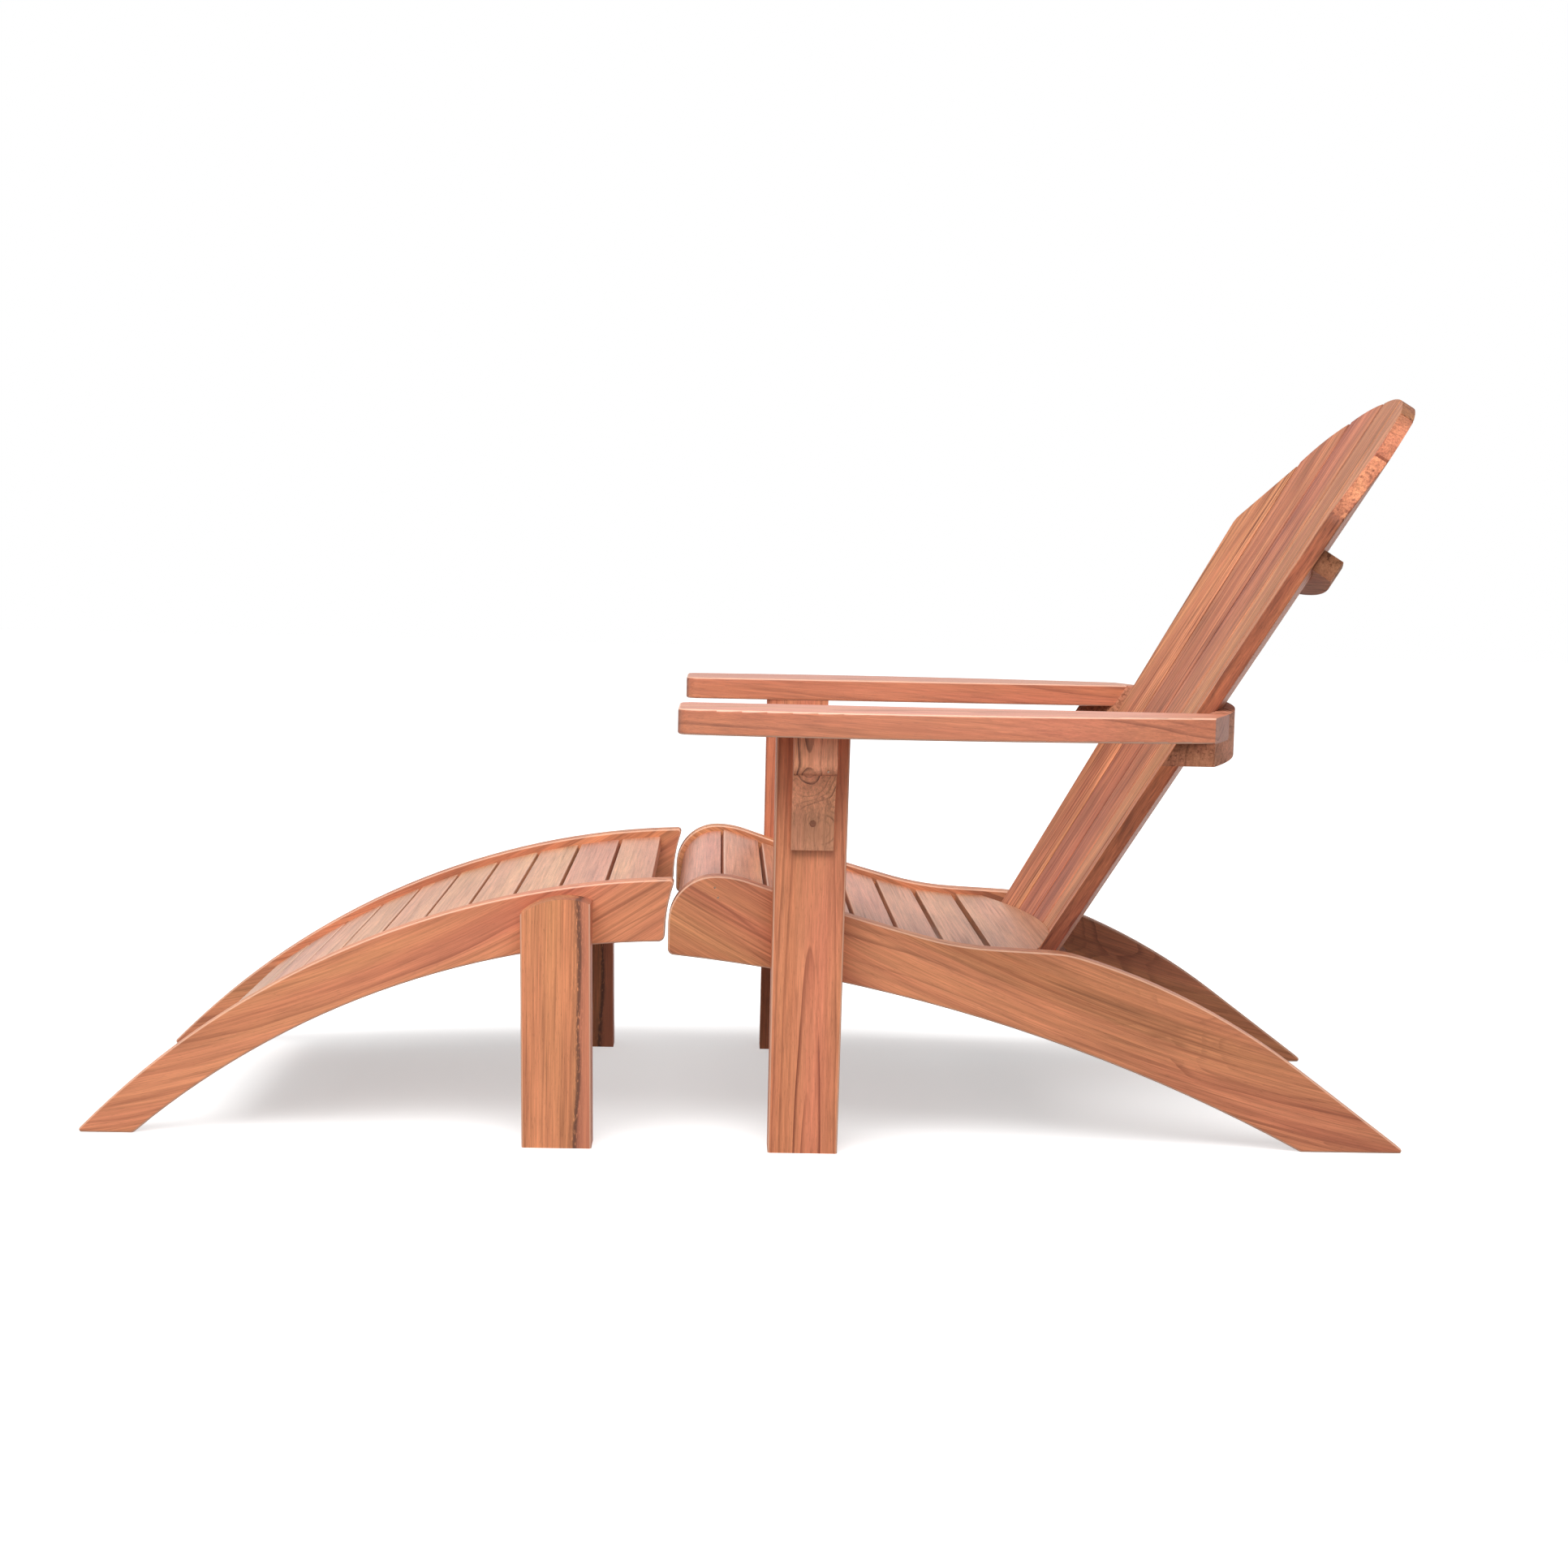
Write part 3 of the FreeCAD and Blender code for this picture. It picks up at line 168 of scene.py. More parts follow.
# a growth ring darkens slowly and stops short; the years differ, and few are as dark as the darkest
ring = {
    "darkens": (0.45, 0.93), "stops": (1.0, 0.95), "yearScale": 0.8, "yearSteps": (0.36, 0.68),
    "yearShare": 0.9, "palestYear": 0.1, "swayShare": 3.0, "rippleShare": 0.35,
}
figureMix = {"knotWidth": 1.8, "hueSpread": 0.03, "poreShade": -0.45, "fibreHeight": 0.5,
             "poreHeight": -1.0, "darkHeight": -0.3}


def makeFigureGroup():
    # growth rings round the log's heart, mineral streaks, fibres and open pores
    group, given, result = newGroup(
        "teakFigure",
        [
            ("Pale", "Color", (0.7, 0.4, 0.2, 1)),
            ("Body", "Color", (0.6, 0.3, 0.1, 1)),
            ("Dark", "Color", (0.2, 0.1, 0.05, 1)),
            ("Ring Gap", "Float", 0.006),
            ("Rings", "Float", 0.5),
            ("Wobble", "Float", 0.003),
            ("Bend", "Float", 0.0),
            ("Streaks", "Float", 0.5),
            ("Pores", "Float", 0.5),
            ("Clouds", "Float", 0.5),
            ("Bands", "Float", 0.4),
            ("Contrast", "Float", 1.0),
            ("Knot", "Vector", (0.0, 0.0, 0.0)),
            ("Knot Size", "Float", 0.02),
            ("Knot Pull", "Float", 0.0),
        ],
        [("Color", "Color"), ("Height", "Float"), ("Darkness", "Float")],
    )
    ins = given.outputs
    parts = splitUp(group, readBoard(group, "place"))
    tone = splitUp(group, readBoard(group, "tone"))
    across = calc(group, "ADD", parts[1], product(group, parts[0], parts[0], ins["Bend"]))
    place = (calc(group, "ADD", parts[0], tone[2]), across, parts[2])
    layer = {key: grainNoise(group, place, *look) for key, look in grainLayers.items()}
    shown = {key: stepUp(group, layer[key], *ends) for key, ends in layerSteps.items()}
    offset = {
        key: calc(group, "SUBTRACT", noise, 0.5)
        for key, noise in layer.items() if key not in layerSteps
    }

    # the rings, pushed aside by a knot
    knot = splitUp(group, ins["Knot"])
    knotAlong, knotAcross = (calc(group, "SUBTRACT", parts[i], knot[i]) for i in range(2))
    knotAway = calc(group, "SQRT", calc(
        group, "ADD",
        product(group, knotAlong, knotAlong),
        product(group, knotAcross, knotAcross, figureMix["knotWidth"]),
    ))
    swell = product(group, stepUp(group, knotAway, ins["Knot Size"], 0.0), ins["Knot Pull"])
    radius = distance(group, across, parts[2])
    for key in ("sway", "ripple"):
        reach = product(group, ins["Wobble"], ring[key + "Share"])
        radius = calc(group, "MULTIPLY_ADD", offset[key], reach, radius)
    count = calc(group, "DIVIDE", calc(group, "ADD", radius, swell), ins["Ring Gap"])
    phase = calc(group, "FRACT", count)
    lateWood = product(
        group, stepUp(group, phase, *ring["darkens"]), stepUp(group, phase, *ring["stops"]),
    )
    year = put(group, "ShaderNodeTexNoise", {
        "W": count, "Scale": ring["yearScale"], "Detail": 1.0,
    }, noise_dimensions="1D")
    yearTone = stepUp(group, year.outputs[0], *ring["yearSteps"])
    yearShade = calc(group, "MULTIPLY_ADD", yearTone, ring["yearShare"], ring["palestYear"])
    ringShade = product(group, lateWood, yearShade, shown["fading"], ins["Rings"])

    # the ground colour, then rings and streaks, then the fine layers
    cloudy = product(group, shown["clouds"], ins["Clouds"])
    banded = product(group, shown["bands"], ins["Bands"])
    share = product(group, calc(group, "ADD", cloudy, banded), 0.5)
    ground = blendColours(group, share, ins["Pale"], ins["Body"])
    streak = product(group, shown["thin"], shown["patches"], ins["Streaks"])
    darkness = calc(group, "MAXIMUM", ringShade, streak)
    figured = blendColours(group, darkness, ground, ins["Dark"])
    uneven = 0.0
    for key, amount in unevenShares.items():
        uneven = calc(group, "MULTIPLY_ADD", offset[key], amount, uneven)
    dots = product(group, shown["dots"], ins["Pores"])
    level = calc(group, "MULTIPLY_ADD", uneven, ins["Contrast"], calc(group, "ADD", tone[0], 1.0))
    level = product(group, level, calc(group, "MULTIPLY_ADD", dots, figureMix["poreShade"], 1.0))
    plainHue = calc(group, "ADD", tone[1], 0.5)
    shaded = put(group, "ShaderNodeHueSaturation", {
        "Hue": calc(group, "MULTIPLY_ADD", offset["hue"], figureMix["hueSpread"], plainHue),
        "Value": level, "Color": figured,
    })
    feed(group, shaded.outputs[0], result.inputs["Color"])
    height = product(group, layer["fibre"], figureMix["fibreHeight"])
    height = calc(group, "MULTIPLY_ADD", dots, figureMix["poreHeight"], height)
    height = calc(group, "MULTIPLY_ADD", darkness, figureMix["darkHeight"], height)
    feed(group, height, result.inputs["Height"])
    feed(group, darkness, result.inputs["Darkness"])
    return group


edgeGroup = makeEdgeGroup()
figureGroup = makeFigureGroup()

# what a wood has when its own dictionary doesn't say
plainWood = {
    # the arris keys paint a highlight along the eased arrises: its share and its paler colour
    "bend": 0.0, "contrast": 1.0, "gloss": 0.3, "arrisHighlight": 0.45, "arrisHighlightColour": (232, 190, 164),
    "endTint": (205, 200, 196), "bump": 0.35, "bumpDepth": 0.0006, "darkRough": 0.12, "endRough": 0.15,
}
figureSockets = {
    "Ring Gap": "ringGap", "Rings": "rings", "Wobble": "wobble", "Bend": "bend", "Streaks": "streaks",
    "Pores": "pores", "Clouds": "clouds", "Bands": "bands", "Contrast": "contrast",
}


def makeWood(name, ownLook):
    look = {**plainWood, **ownLook}
    wood = bpy.data.materials.new(name)
    wood.use_nodes = True
    tree = wood.node_tree
    shader = tree.nodes["Principled BSDF"]
    figure = put(tree, "ShaderNodeGroup", node_tree=figureGroup)
    for label in ("Pale", "Body", "Dark"):
        figure.inputs[label].default_value = paint(*look[label.lower()])
    for label, key in figureSockets.items():
        figure.inputs[label].default_value = look[key]
    if "knot" in look:
        figure.inputs["Knot"].default_value = (*look["knot"]["place"], 0.0)
        figure.inputs["Knot Size"].default_value = look["knot"]["size"]
        figure.inputs["Knot Pull"].default_value = look["knot"]["pull"]
    edges = put(tree, "ShaderNodeGroup", node_tree=edgeGroup).outputs
    colour = figure.outputs["Color"]
    if "scar" in look:
        colour = addScar(tree, colour, look["scar"])
    colour = tinted(tree, edges["End"], colour, look["endTint"])
    # the narrow sides darker and redder: partly the wood's own tone, partly painted shade in the gaps
    # between slats
    if "sideToneAndShade" in look:
        colour = tinted(tree, edges["Side"], colour, look["sideToneAndShade"])
    # the lower part tinted darker and greyer: painted shade, partly the greyer wood
    if "low" in look:
        along = splitUp(tree, readBoard(tree, "place"))[0]
        lowGreyAndShade = stepUp(tree, along, look["low"]["from"], look["low"]["full"])
        colour = tinted(tree, lowGreyAndShade, colour, look["low"]["tint"])
    # the eased arrises painted paler: a painted highlight
    arrisHighlight = product(tree, edges["Arris"], look["arrisHighlight"])
    feed(tree, blendColours(tree, arrisHighlight, colour, paint(*look["arrisHighlightColour"])), shader.inputs["Base Color"])
    rough = calc(tree, "MULTIPLY_ADD", figure.outputs["Darkness"], look["darkRough"], look["rough"])
    rough = calc(tree, "MULTIPLY_ADD", edges["End"], look["endRough"], rough)
    feed(tree, rough, shader.inputs["Roughness"])
    shader.inputs["Specular IOR Level"].default_value = look["gloss"]
    bump = put(tree, "ShaderNodeBump", {
        "Strength": look["bump"], "Distance": look["bumpDepth"], "Height": figure.outputs["Height"],
    })
    feed(tree, bump.outputs[0], shader.inputs["Normal"])
    return wood


# the noises of a scar: waves per metre along and across, and detail
scarLayers = {
    "wander": (7.0, 20.0, 3.0), "thick": (9.0, 30.0, 3.0),
    "threads": (16.0, 420.0, 3.0), "crumbs": (150.0, 600.0, 2.0),
}
scarSteps = {"beyond": (0.0, 0.003), "core": (1.5, 0.2), "threads": (0.3, 0.56), "crumbs": (0.25, 0.5)}


def addScar(tree, colour, scar):
    # a crumbly dark mineral line that runs up a leg, with a pinker speckled strip beyond it
    parts = splitUp(tree, readBoard(tree, "place"))
    noise = {key: grainNoise(tree, parts, *look) for key, look in scarLayers.items()}
    wander = calc(tree, "SUBTRACT", noise["wander"], 0.5)
    side = calc(tree, "MULTIPLY_ADD", wander, scar["drift"], parts[1])
    gap = calc(tree, "SUBTRACT", side, scar["centre"])
    beyond = product(tree, stepUp(tree, gap, *scarSteps["beyond"]), scar["stripShare"])
    colour = blendColours(tree, beyond, colour, paint(*scar["strip"]))
    gap = calc(tree, "ABSOLUTE", gap)
    width = scar["width"]
    thick = calc(tree, "MULTIPLY_ADD", noise["thick"], width * scar["swell"], -width * scar["pinch"])
    thick = calc(tree, "MAXIMUM", thick, scar["thinnest"])
    core = stepUp(tree, calc(tree, "DIVIDE", gap, thick), *scarSteps["core"])
    threads = stepUp(tree, noise["threads"], *scarSteps["threads"])
    crumbs = stepUp(tree, noise["crumbs"], *scarSteps["crumbs"])
    halo = product(tree, stepUp(tree, gap, width * scar["haloReach"], 0.0), scar["haloShare"])
    mask = product(tree, calc(tree, "MAXIMUM", core, product(tree, halo, threads)), crumbs)
    return blendColours(tree, product(tree, mask, scar["share"]), colour, paint(*scar["colour"]))


def unit(vector):
    vector = np.asarray(vector, float)
    return vector / np.linalg.norm(vector)


def readRows(items, what, width):
    rows = np.zeros(len(items) * width, np.float32)
    items.foreach_get(what, rows)
    return rows.reshape(-1, width).astype(float)


def pointsOf(name):
    return readRows(nodes[name].data.vertices, "co", 3)


def faceOf(name, towards, leastAlike=0.7):
    # the direction of the board's broadest facet on that side
    facets = nodes[name].data.polygons
    normals = readRows(facets, "normal", 3)
    areas = readRows(facets, "area", 1)[:, 0]
    return normals[np.argmax(areas * (normals @ unit(towards) > leastAlike))]


def setBoard(name, wood, run, face, heart, climb=0.0, shade=0.0, warmth=0.0, shift=0.0):
    # heart: where the log's middle lies from the board's middle; climb: how fast the board leaves it
    mesh = nodes[name].data
    points = pointsOf(name)
    middle = (points.min(0) + points.max(0)) / 2
    along = unit(run)
    out = unit(np.asarray(face, float) - along * (np.asarray(face, float) @ along))
    across = np.cross(out, along)
    away = points - middle
    place = np.stack([
        away @ along,
        away @ across + heart[0],
        away @ out + heart[1] + climb * (away @ along),
    ], axis=1)
    facts = {
        "place": place,
        "run": np.tile(along, (len(points), 1)),
        "face": np.tile(out, (len(points), 1)),
        "tone": np.tile([shade, warmth, shift], (len(points), 1)),
    }
    for what, rows in facts.items():
        attribute = mesh.attributes.new(boardLabels[what], "FLOAT_VECTOR", "POINT")
        attribute.data.foreach_set("vector", rows.astype(np.float32).ravel())
    mesh.materials.clear()
    mesh.materials.append(wood)


def setBoards(woodName, look, run, face):
    # boards of one wood; each has its own shade and its own place in the log
    wood = makeWood(woodName, look)
    for name, (shade, shift) in look["boards"].items():
        setBoard(name, wood, run, face, look["heart"], look["climb"], shade=shade, shift=shift)


def setSlats(look, wood, ownWoods):
    # crosswise slats with the same small differences from slat to slat on every run
    names = look["names"]
    spread = look["spread"]
    shades = np.random.default_rng(look["seed"]).uniform(-spread, spread, len(names))
    for i, name in enumerate(names):
        heart = (look["heart"][0] + shades[i], look["heart"][1])
        setBoard(name, ownWoods.get(name, wood), sideways, faceOf(name, upright), heart, look["climb"],
                 shade=shades[i], warmth=shades[-1 - i] * look["warmthShare"],
                 shift=look["firstShift"] + i * look["shiftStep"])


def slanted(degrees):
    # a direction in the side view: 0 is level towards the back, and it turns upwards
    turn = math.radians(degrees)
    return (math.cos(turn), 0.0, math.sin(turn))


sideways = (0.0, 1.0, 0.0)
upright = (0.0, 0.0, 1.0)
lengthways = (1.0, 0.0, 0.0)

seatRail = {
    "pale": (216, 144, 102), "body": (168, 96, 68), "dark": (112, 60, 43),
    "ringGap": 0.012, "rings": 0.65, "wobble": 0.028, "bend": 0.17, "contrast": 0.85,
    "streaks": 0.5, "pores": 0.4, "clouds": 0.9, "bands": 0.7, "rough": 0.46, "arrisHighlight": 0.6,
    "slant": -21.0, "heart": (0.06, 0.05), "climb": 0.012,
    "knot": {"place": (0.165, -0.012), "size": 0.11, "pull": 0.045},
    "boards": {"left_seat_rail": (0.0, 1.3), "right_seat_rail": (-0.08, 4.1)},
}
setBoards("seatRailWood", seatRail, slanted(seatRail["slant"]), sideways)

stoolRail = {
    "pale": (218, 144, 103), "body": (178, 104, 76), "dark": (120, 66, 48),
    "ringGap": 0.012, "rings": 0.6, "wobble": 0.02, "contrast": 0.8, "bend": 0.28,
    "streaks": 0.45, "pores": 0.35, "clouds": 0.8, "bands": 0.6, "rough": 0.46, "arrisHighlight": 0.6,
    "slant": 22.0, "heart": (0.09, 0.045), "climb": 0.01,
    "boards": {"left_stool_rail": (0.03, 2.2), "right_stool_rail": (-0.05, 6.4)},
}
setBoards("stoolRailWood", stoolRail, slanted(stoolRail["slant"]), sideways)

frontLeg = {
    "pale": (220, 142, 104), "body": (188, 108, 78), "dark": (132, 70, 50),
    "ringGap": 0.009, "rings": 1.0, "wobble": 0.003, "contrast": 0.7,
    "streaks": 0.3, "pores": 0.4, "clouds": 0.7, "bands": 0.7, "rough": 0.5, "arrisHighlight": 0.6,
    "heart": (-0.002, 0.04), "climb": 0.045,
    # the right leg, on the far side, is given a darker shade: painted shade
    "boards": {"left_front_leg": (0.03, 0.4), "right_front_leg": (-0.12, 3.3)},
}
setBoards("frontLegWood", frontLeg, upright, sideways)

stoolLeg = {
    "pale": (220, 148, 102), "body": (184, 110, 78), "dark": (122, 68, 48),
    "ringGap": 0.009, "rings": 0.25, "wobble": 0.003,
    "streaks": 0.5, "pores": 0.5, "clouds": 0.8, "bands": 0.85, "rough": 0.5, "arrisHighlight": 0.6,
    "heart": (0.09, 0.03), "climb": 0.01,
    "scar": {
        "centre": 0.117, "width": 0.004, "swell": 2.4, "pinch": 0.3, "thinnest": 0.001,
        "drift": 0.014, "haloReach": 3.5, "haloShare": 0.5, "share": 0.85,
        "colour": (74, 44, 38), "strip": (196, 118, 96), "stripShare": 0.6,
    },
    # the right leg, on the far side, is given a darker shade: painted shade
    "boards": {"left_stool_leg": (0.03, 0.9), "right_stool_leg": (-0.14, 5.2)},
}
setBoards("stoolLegWood", stoolLeg, upright, sideways)

armrest = {
    "pale": (203, 127, 93), "body": (172, 96, 68), "dark": (110, 58, 42),
    "ringGap": 0.009, "rings": 0.85, "wobble": 0.010, "gloss": 0.5, "contrast": 0.6,
    "streaks": 0.3, "pores": 0.35, "clouds": 0.6, "bands": 0.7, "rough": 0.38, "arrisHighlight": 0.7,
    "heart": (0.02, -0.06), "climb": 0.06,
    "boards": {"left_armrest": (0.0, 0.2), "right_armrest": (-0.03, 2.9)},
}
setBoards("armrestWood", armrest, lengthways, upright)

# low: the part below the cove, tinted darker and greyer by the height above the corbel's middle:
# painted shade, partly the greyer wood
corbel = {
    # the corbel's colours are lighter than the other teak: painted light that lifts the shade under the
    # arm
    "pale": (243, 166, 128), "body": (212, 136, 104), "dark": (92, 54, 42),
    "ringGap": 0.007, "rings": 1.0, "wobble": 0.012,
    "streaks": 0.5, "pores": 0.5, "clouds": 0.9, "bands": 0.7, "rough": 0.55, "arrisHighlight": 0.0,
    "heart": (0.01, 0.02), "climb": 0.06,
    "knot": {"place": (-0.045, 0.016), "size": 0.05, "pull": 0.04},
    "low": {"from": 0.0, "full": -0.035, "tint": (208, 214, 212)},
    "boards": {"left_arm_corbel": (0.0, 0.1), "right_arm_corbel": (0.0, 1.7)},
}
setBoards("corbelWood", corbel, upright, sideways)

seatSlat = {
    "pale": (212, 150, 118), "body": (172, 112, 86), "dark": (116, 70, 52),
    "ringGap": 0.009, "rings": 0.35, "wobble": 0.010,
    "streaks": 0.5, "pores": 0.8, "clouds": 0.8, "bands": 0.8, "rough": 0.42, "contrast": 0.9,
    "endTint": (190, 170, 160), "gloss": 0.6, "heart": (0.02, 0.05), "climb": 0.01,
    "names": ["seat_nose_slat"] + [f"seat_slat_{i}" for i in range(1, 7)] + ["seat_rear_board"],
    "seed": 5, "spread": 0.05, "warmthShare": 0.15, "firstShift": 0.0, "shiftStep": 1.31,
}
seatSlatWood = makeWood("seatSlatWood", seatSlat)
# the nose slat is round, so it has no arris to carry the painted highlight
seatNoseWood = makeWood("seatNoseWood", {**seatSlat, "arrisHighlight": 0.0})
setSlats(seatSlat, seatSlatWood, {"seat_nose_slat": seatNoseWood})

stoolSlat = {
    "pale": (216, 156, 122), "body": (176, 116, 90), "dark": (120, 74, 55),
    "ringGap": 0.009, "rings": 0.35, "wobble": 0.010,
    "streaks": 0.5, "pores": 0.8, "clouds": 0.8, "bands": 0.8, "rough": 0.42, "contrast": 0.9,
    "endTint": (190, 170, 160), "gloss": 0.5, "heart": (0.02, 0.05), "climb": 0.01,
    "names": [f"stool_slat_{i}" for i in range(1, 11)],
    "seed": 9, "spread": 0.05, "warmthShare": 0.15, "firstShift": 7.0, "shiftStep": 1.17,
}
setSlats(stoolSlat, makeWood("stoolSlatWood", stoolSlat), {})

# ends: the length at each end of a slat whose middle gives the slat's direction
backSlat = {
    "pale": (214, 140, 100), "body": (152, 86, 62), "dark": (104, 52, 38),
    "ringGap": 0.010, "rings": 0.6, "wobble": 0.005,
    "streaks": 0.9, "pores": 0.5, "clouds": 0.6, "bands": 1.0, "rough": 0.5, "contrast": 1.4,
    # the narrow sides are tinted darker and redder: partly the wood's tone, partly painted shade in the
    # gaps between slats
    "endTint": (186, 184, 174), "sideToneAndShade": (214, 196, 184), "arrisHighlight": 0.0,
    "ends": 0.06, "front": (-1.0, 0.0, 0.6), "heart": (0.1, 0.02), "climb": 0.01, "shiftStep": 1.73,
    "shades": (0.03, 0.0, 0.06, 0.0, -0.08, -0.03, 0.02),
    "warmths": (-0.002, -0.006, 0.002, 0.004, -0.005, -0.002, 0.003),
}
backSlatWood = makeWood("backSlatWood", backSlat)
for i, (shade, warmth) in enumerate(zip(backSlat["shades"], backSlat["warmths"])):
    name = f"back_slat_{i + 1}"
    points = pointsOf(name)
    low = points[points[:, 2] < points[:, 2].min() + backSlat["ends"]].mean(0)
    high = points[points[:, 2] > points[:, 2].max() - backSlat["ends"]].mean(0)
    heart = (backSlat["heart"][0] + shade, backSlat["heart"][1])
    setBoard(name, backSlatWood, high - low, faceOf(name, backSlat["front"]), heart, backSlat["climb"],
             shade=shade, warmth=warmth, shift=i * backSlat["shiftStep"])

rearWork = {
    "pale": (208, 142, 110), "body": (158, 98, 74), "dark": (92, 52, 38),
    "ringGap": 0.008, "rings": 0.6, "wobble": 0.008, "contrast": 1.1,
    "streaks": 0.8, "pores": 0.45, "clouds": 0.7, "bands": 0.8, "rough": 0.65, "gloss": 0.12,
    "arrisHighlight": 0.0, "heart": (0.03, 0.04), "climb": 0.01,
    "boards": {
        "arm_cross_rail": (0.0, 0.0), "upper_back_brace": (0.0, 2.3), "lower_back_rail": (0.0, 4.6),
    },
}
setBoards("rearWood", rearWork, sideways, upright)

plug = {
    "pale": (176, 116, 90), "body": (150, 96, 74), "dark": (96, 58, 44),
    "ringGap": 0.002, "rings": 0.6, "wobble": 0.001,
    "streaks": 0.4, "pores": 0.6, "clouds": 0.6, "bands": 0.5, "rough": 0.6, "heart": (0.0, 0.004),
}
plugWood = makeWood("plugWood", plug)
for name, run, shift in (("corbel_plugs", sideways, 0.0), ("arm_dowels", upright, 1.1)):
    setBoard(name, plugWood, run, lengthways, plug["heart"], shift=shift)
print("wood laid out")

metalMarks = {"stainDetail": 4.0, "stainSteps": (0.45, 0.7), "toolDetail": 2.0, "roughSpread": 0.25,
              "bump": 0.2, "bumpDepth": 0.0002}


def makeMetal(name, look):
    metal = bpy.data.materials.new(name)
    metal.use_nodes = True
    tree = metal.node_tree
    shader = tree.nodes["Principled BSDF"]
    shader.inputs["Metallic"].default_value = 1.0
    spot = put(tree, "ShaderNodeTexCoord").outputs["Object"]
    stains, turned = (
        put(tree, "ShaderNodeTexNoise", {"Vector": spot, "Scale": scale, "Detail": detail}).outputs[0]
        for scale, detail in ((look["stainScale"], metalMarks["stainDetail"]),
                              (look["toolMarks"], metalMarks["toolDetail"]))
    )
    mask = stepUp(tree, stains, *metalMarks["stainSteps"])
    colour = blendColours(tree, mask, paint(*look["clean"]), paint(*look["stained"]))
    feed(tree, colour, shader.inputs["Base Color"])
    rough = calc(tree, "MULTIPLY_ADD", turned, metalMarks["roughSpread"], look["rough"])
    feed(tree, rough, shader.inputs["Roughness"])
    bump = put(tree, "ShaderNodeBump", {
        "Strength": metalMarks["bump"], "Distance": metalMarks["bumpDepth"], "Height": turned,
    })
    feed(tree, bump.outputs[0], shader.inputs["Normal"])
    return metal


steel = {"clean": (176, 174, 170), "stained": (128, 118, 108), "stainScale": 260, "toolMarks": 2400,
         "rough": 0.28}
brass = {"clean": (204, 168, 96), "stained": (150, 116, 66), "stainScale": 220, "toolMarks": 2200,
         "rough": 0.3}
nail = {"clean": (132, 108, 92), "stained": (86, 58, 46), "stainScale": 420, "toolMarks": 2600,
        "rough": 0.45}
fixings = {
    "zincSteel": (steel, ["leg_bolts", "leg_bolt_washers", "back_slat_screws", "arm_lap_screws",
                          "corbel_screws", "stool_leg_bolts", "stool_leg_bolt_washers"]),
    "turnedBrass": (brass, ["leg_bolt_inserts", "stool_leg_bolt_inserts"]),
    "dullNails": (nail, ["finishing_nails"]),
}
for label, (look, names) in fixings.items():
    metal = makeMetal(label, look)
    for name in names:
        nodes[name].data.materials.clear()
        nodes[name].data.materials.append(metal)
print("fixings finished")

# the floor is seen lighter than it lights the chair, and fades to white past the shadow's reach
studio = {
    "floorSize": 30.0, "floorColour": (150, 150, 150), "shownFloor": 0.8,
    "nearGlow": 0.46, "farGlow": 1.0, "shadowReach": (1.1, 0.52, 1.0), "whiteFrom": 0.6, "whiteBy": 1.2,
    "skyLight": 0.27,
}
half = studio["floorSize"] / 2
floorMesh = bpy.data.meshes.new("floor")
floorCorners = [(-half, -half, 0), (half, -half, 0), (half, half, 0), (-half, half, 0)]
floorMesh.from_pydata(floorCorners, [], [(0, 1, 2, 3)])
floor = bpy.data.objects.new("floor", floorMesh)
bpy.context.scene.collection.objects.link(floor)


def seenDirectly(tree):
    path = put(tree, "ShaderNodeLightPath").outputs
    seen = calc(tree, "MAXIMUM", path["Is Camera Ray"], path["Is Glossy Ray"])
    return calc(tree, "MAXIMUM", seen, path["Is Transmission Ray"])


floorPaper = bpy.data.materials.new("floorPaper")
floorPaper.use_nodes = True
tree = floorPaper.node_tree
tree.nodes.clear()
plain = put(tree, "ShaderNodeBsdfDiffuse", {"Color": paint(*studio["floorColour"])})
shown = put(tree, "ShaderNodeBsdfDiffuse", {"Color": (studio["shownFloor"],) * 3 + (1.0,)})
spot = put(tree, "ShaderNodeTexCoord").outputs["Object"]
spread = put(tree, "ShaderNodeVectorMath", {0: spot, 1: studio["shadowReach"]}, operation="DIVIDE")
reach = put(tree, "ShaderNodeVectorMath", {0: spread.outputs[0]}, operation="LENGTH").outputs["Value"]
whiter = stepUp(tree, reach, studio["whiteFrom"], studio["whiteBy"])
glowSpread = studio["farGlow"] - studio["nearGlow"]
glowLevel = calc(tree, "MULTIPLY_ADD", whiter, glowSpread, studio["nearGlow"])
glow = put(tree, "ShaderNodeEmission", {"Strength": glowLevel})
bright = put(tree, "ShaderNodeAddShader", {0: shown.outputs[0], 1: glow.outputs[0]})
inputs = {0: seenDirectly(tree), 1: plain.outputs[0], 2: bright.outputs[0]}
mixed = put(tree, "ShaderNodeMixShader", inputs)
put(tree, "ShaderNodeOutputMaterial", {"Surface": mixed.outputs[0]})
floorMesh.materials.append(floorPaper)

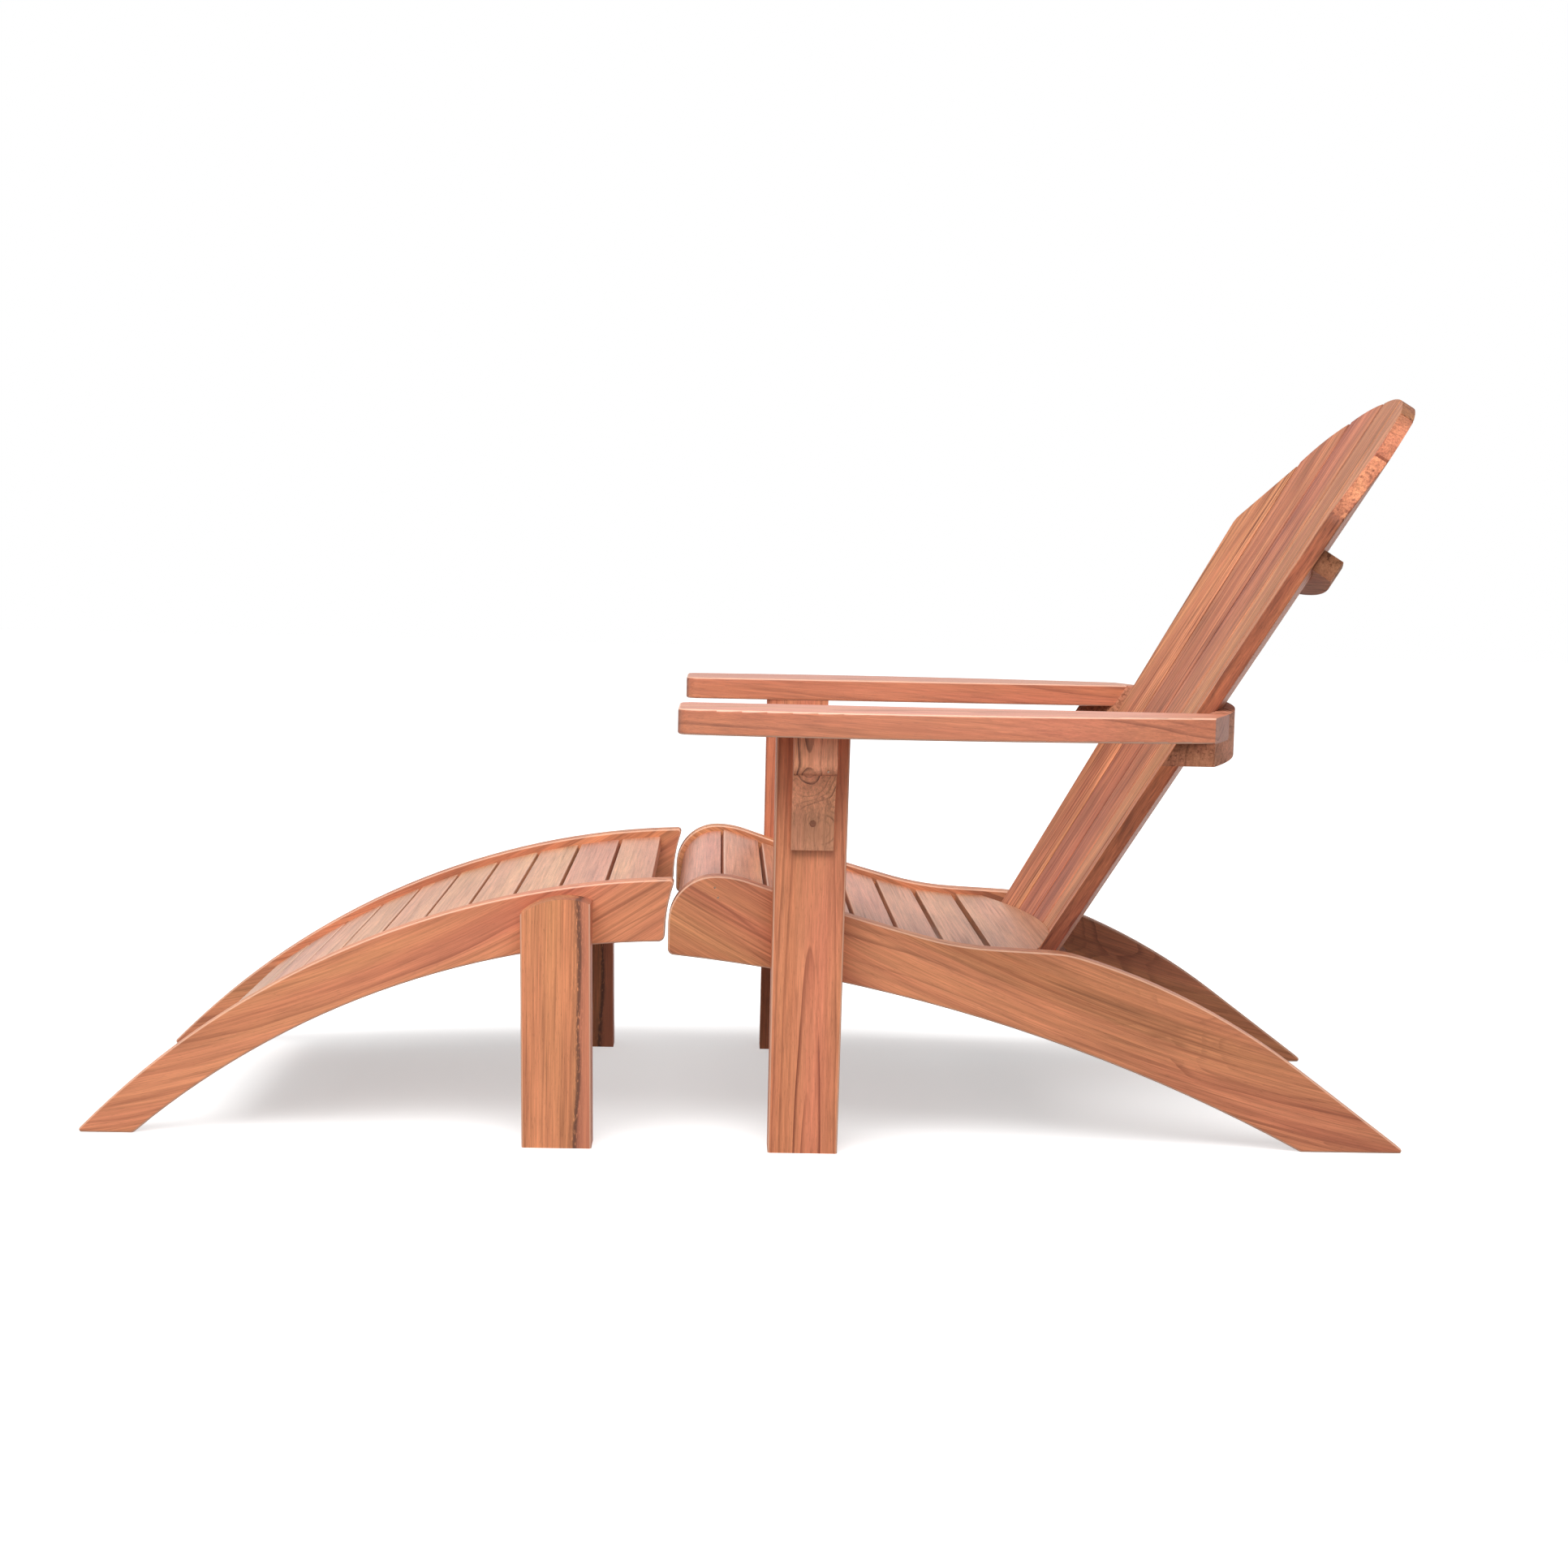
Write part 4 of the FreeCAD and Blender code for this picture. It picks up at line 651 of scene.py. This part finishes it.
world = bpy.data.worlds.new("studioAir")
bpy.context.scene.world = world
world.use_nodes = True
tree = world.node_tree
tree.nodes.clear()
skyLight = studio["skyLight"]
airLevel = calc(tree, "MULTIPLY_ADD", seenDirectly(tree), 1.0 - skyLight, skyLight)
air = put(tree, "ShaderNodeBackground", {"Color": (1, 1, 1, 1), "Strength": airLevel})
put(tree, "ShaderNodeOutputWorld", {"Surface": air.outputs[0]})

lamps = {
    "overhead": {"place": (-0.3, -1.8, 3.1), "aim": (0.0, 0.0, 0.3), "size": (3.6, 2.4), "power": 140},
    "front": {"place": (-1.0, -4.4, 2.4), "aim": (0.0, 0.0, 0.4), "size": (5.5, 2.6), "power": 60},
}
for name, lamp in lamps.items():
    light = bpy.data.lights.new(name, "AREA")
    light.shape = "RECTANGLE"
    light.size, light.size_y = lamp["size"]
    light.energy = lamp["power"]
    holder = bpy.data.objects.new(name, light)
    holder.location = lamp["place"]
    aim = Vector(lamp["aim"]) - holder.location
    holder.rotation_euler = aim.to_track_quat("-Z", "Y").to_euler()
    bpy.context.scene.collection.objects.link(holder)
print("studio lit")

# fitted to the photo's outlines; angles in degrees, the lens and its sensor in millimetres
viewpoint = {"place": (-0.0633, -3.2697, 0.7436), "yaw": 1.575, "dip": 5.561, "roll": 1.295,
             "lens": 55.72, "sensor": 36.0}
yaw, dip, roll = (math.radians(viewpoint[key]) for key in ("yaw", "dip", "roll"))
ahead = Vector((math.sin(yaw) * math.cos(dip), math.cos(yaw) * math.cos(dip), -math.sin(dip)))
right = Vector((math.cos(yaw), -math.sin(yaw), 0))
above = right.cross(ahead)
rolledRight = right * math.cos(roll) + above * math.sin(roll)
rolledUp = above * math.cos(roll) - right * math.sin(roll)
lensData = bpy.data.cameras.new("camera")
lensData.lens = viewpoint["lens"]
lensData.sensor_width = viewpoint["sensor"]
camera = bpy.data.objects.new("camera", lensData)
turn = Matrix((rolledRight, rolledUp, -ahead)).transposed()
camera.matrix_world = Matrix.Translation(viewpoint["place"]) @ turn.to_4x4()
bpy.context.scene.collection.objects.link(camera)
bpy.context.scene.camera = camera
bpy.context.scene.view_settings.view_transform = "Standard"
print("camera set")
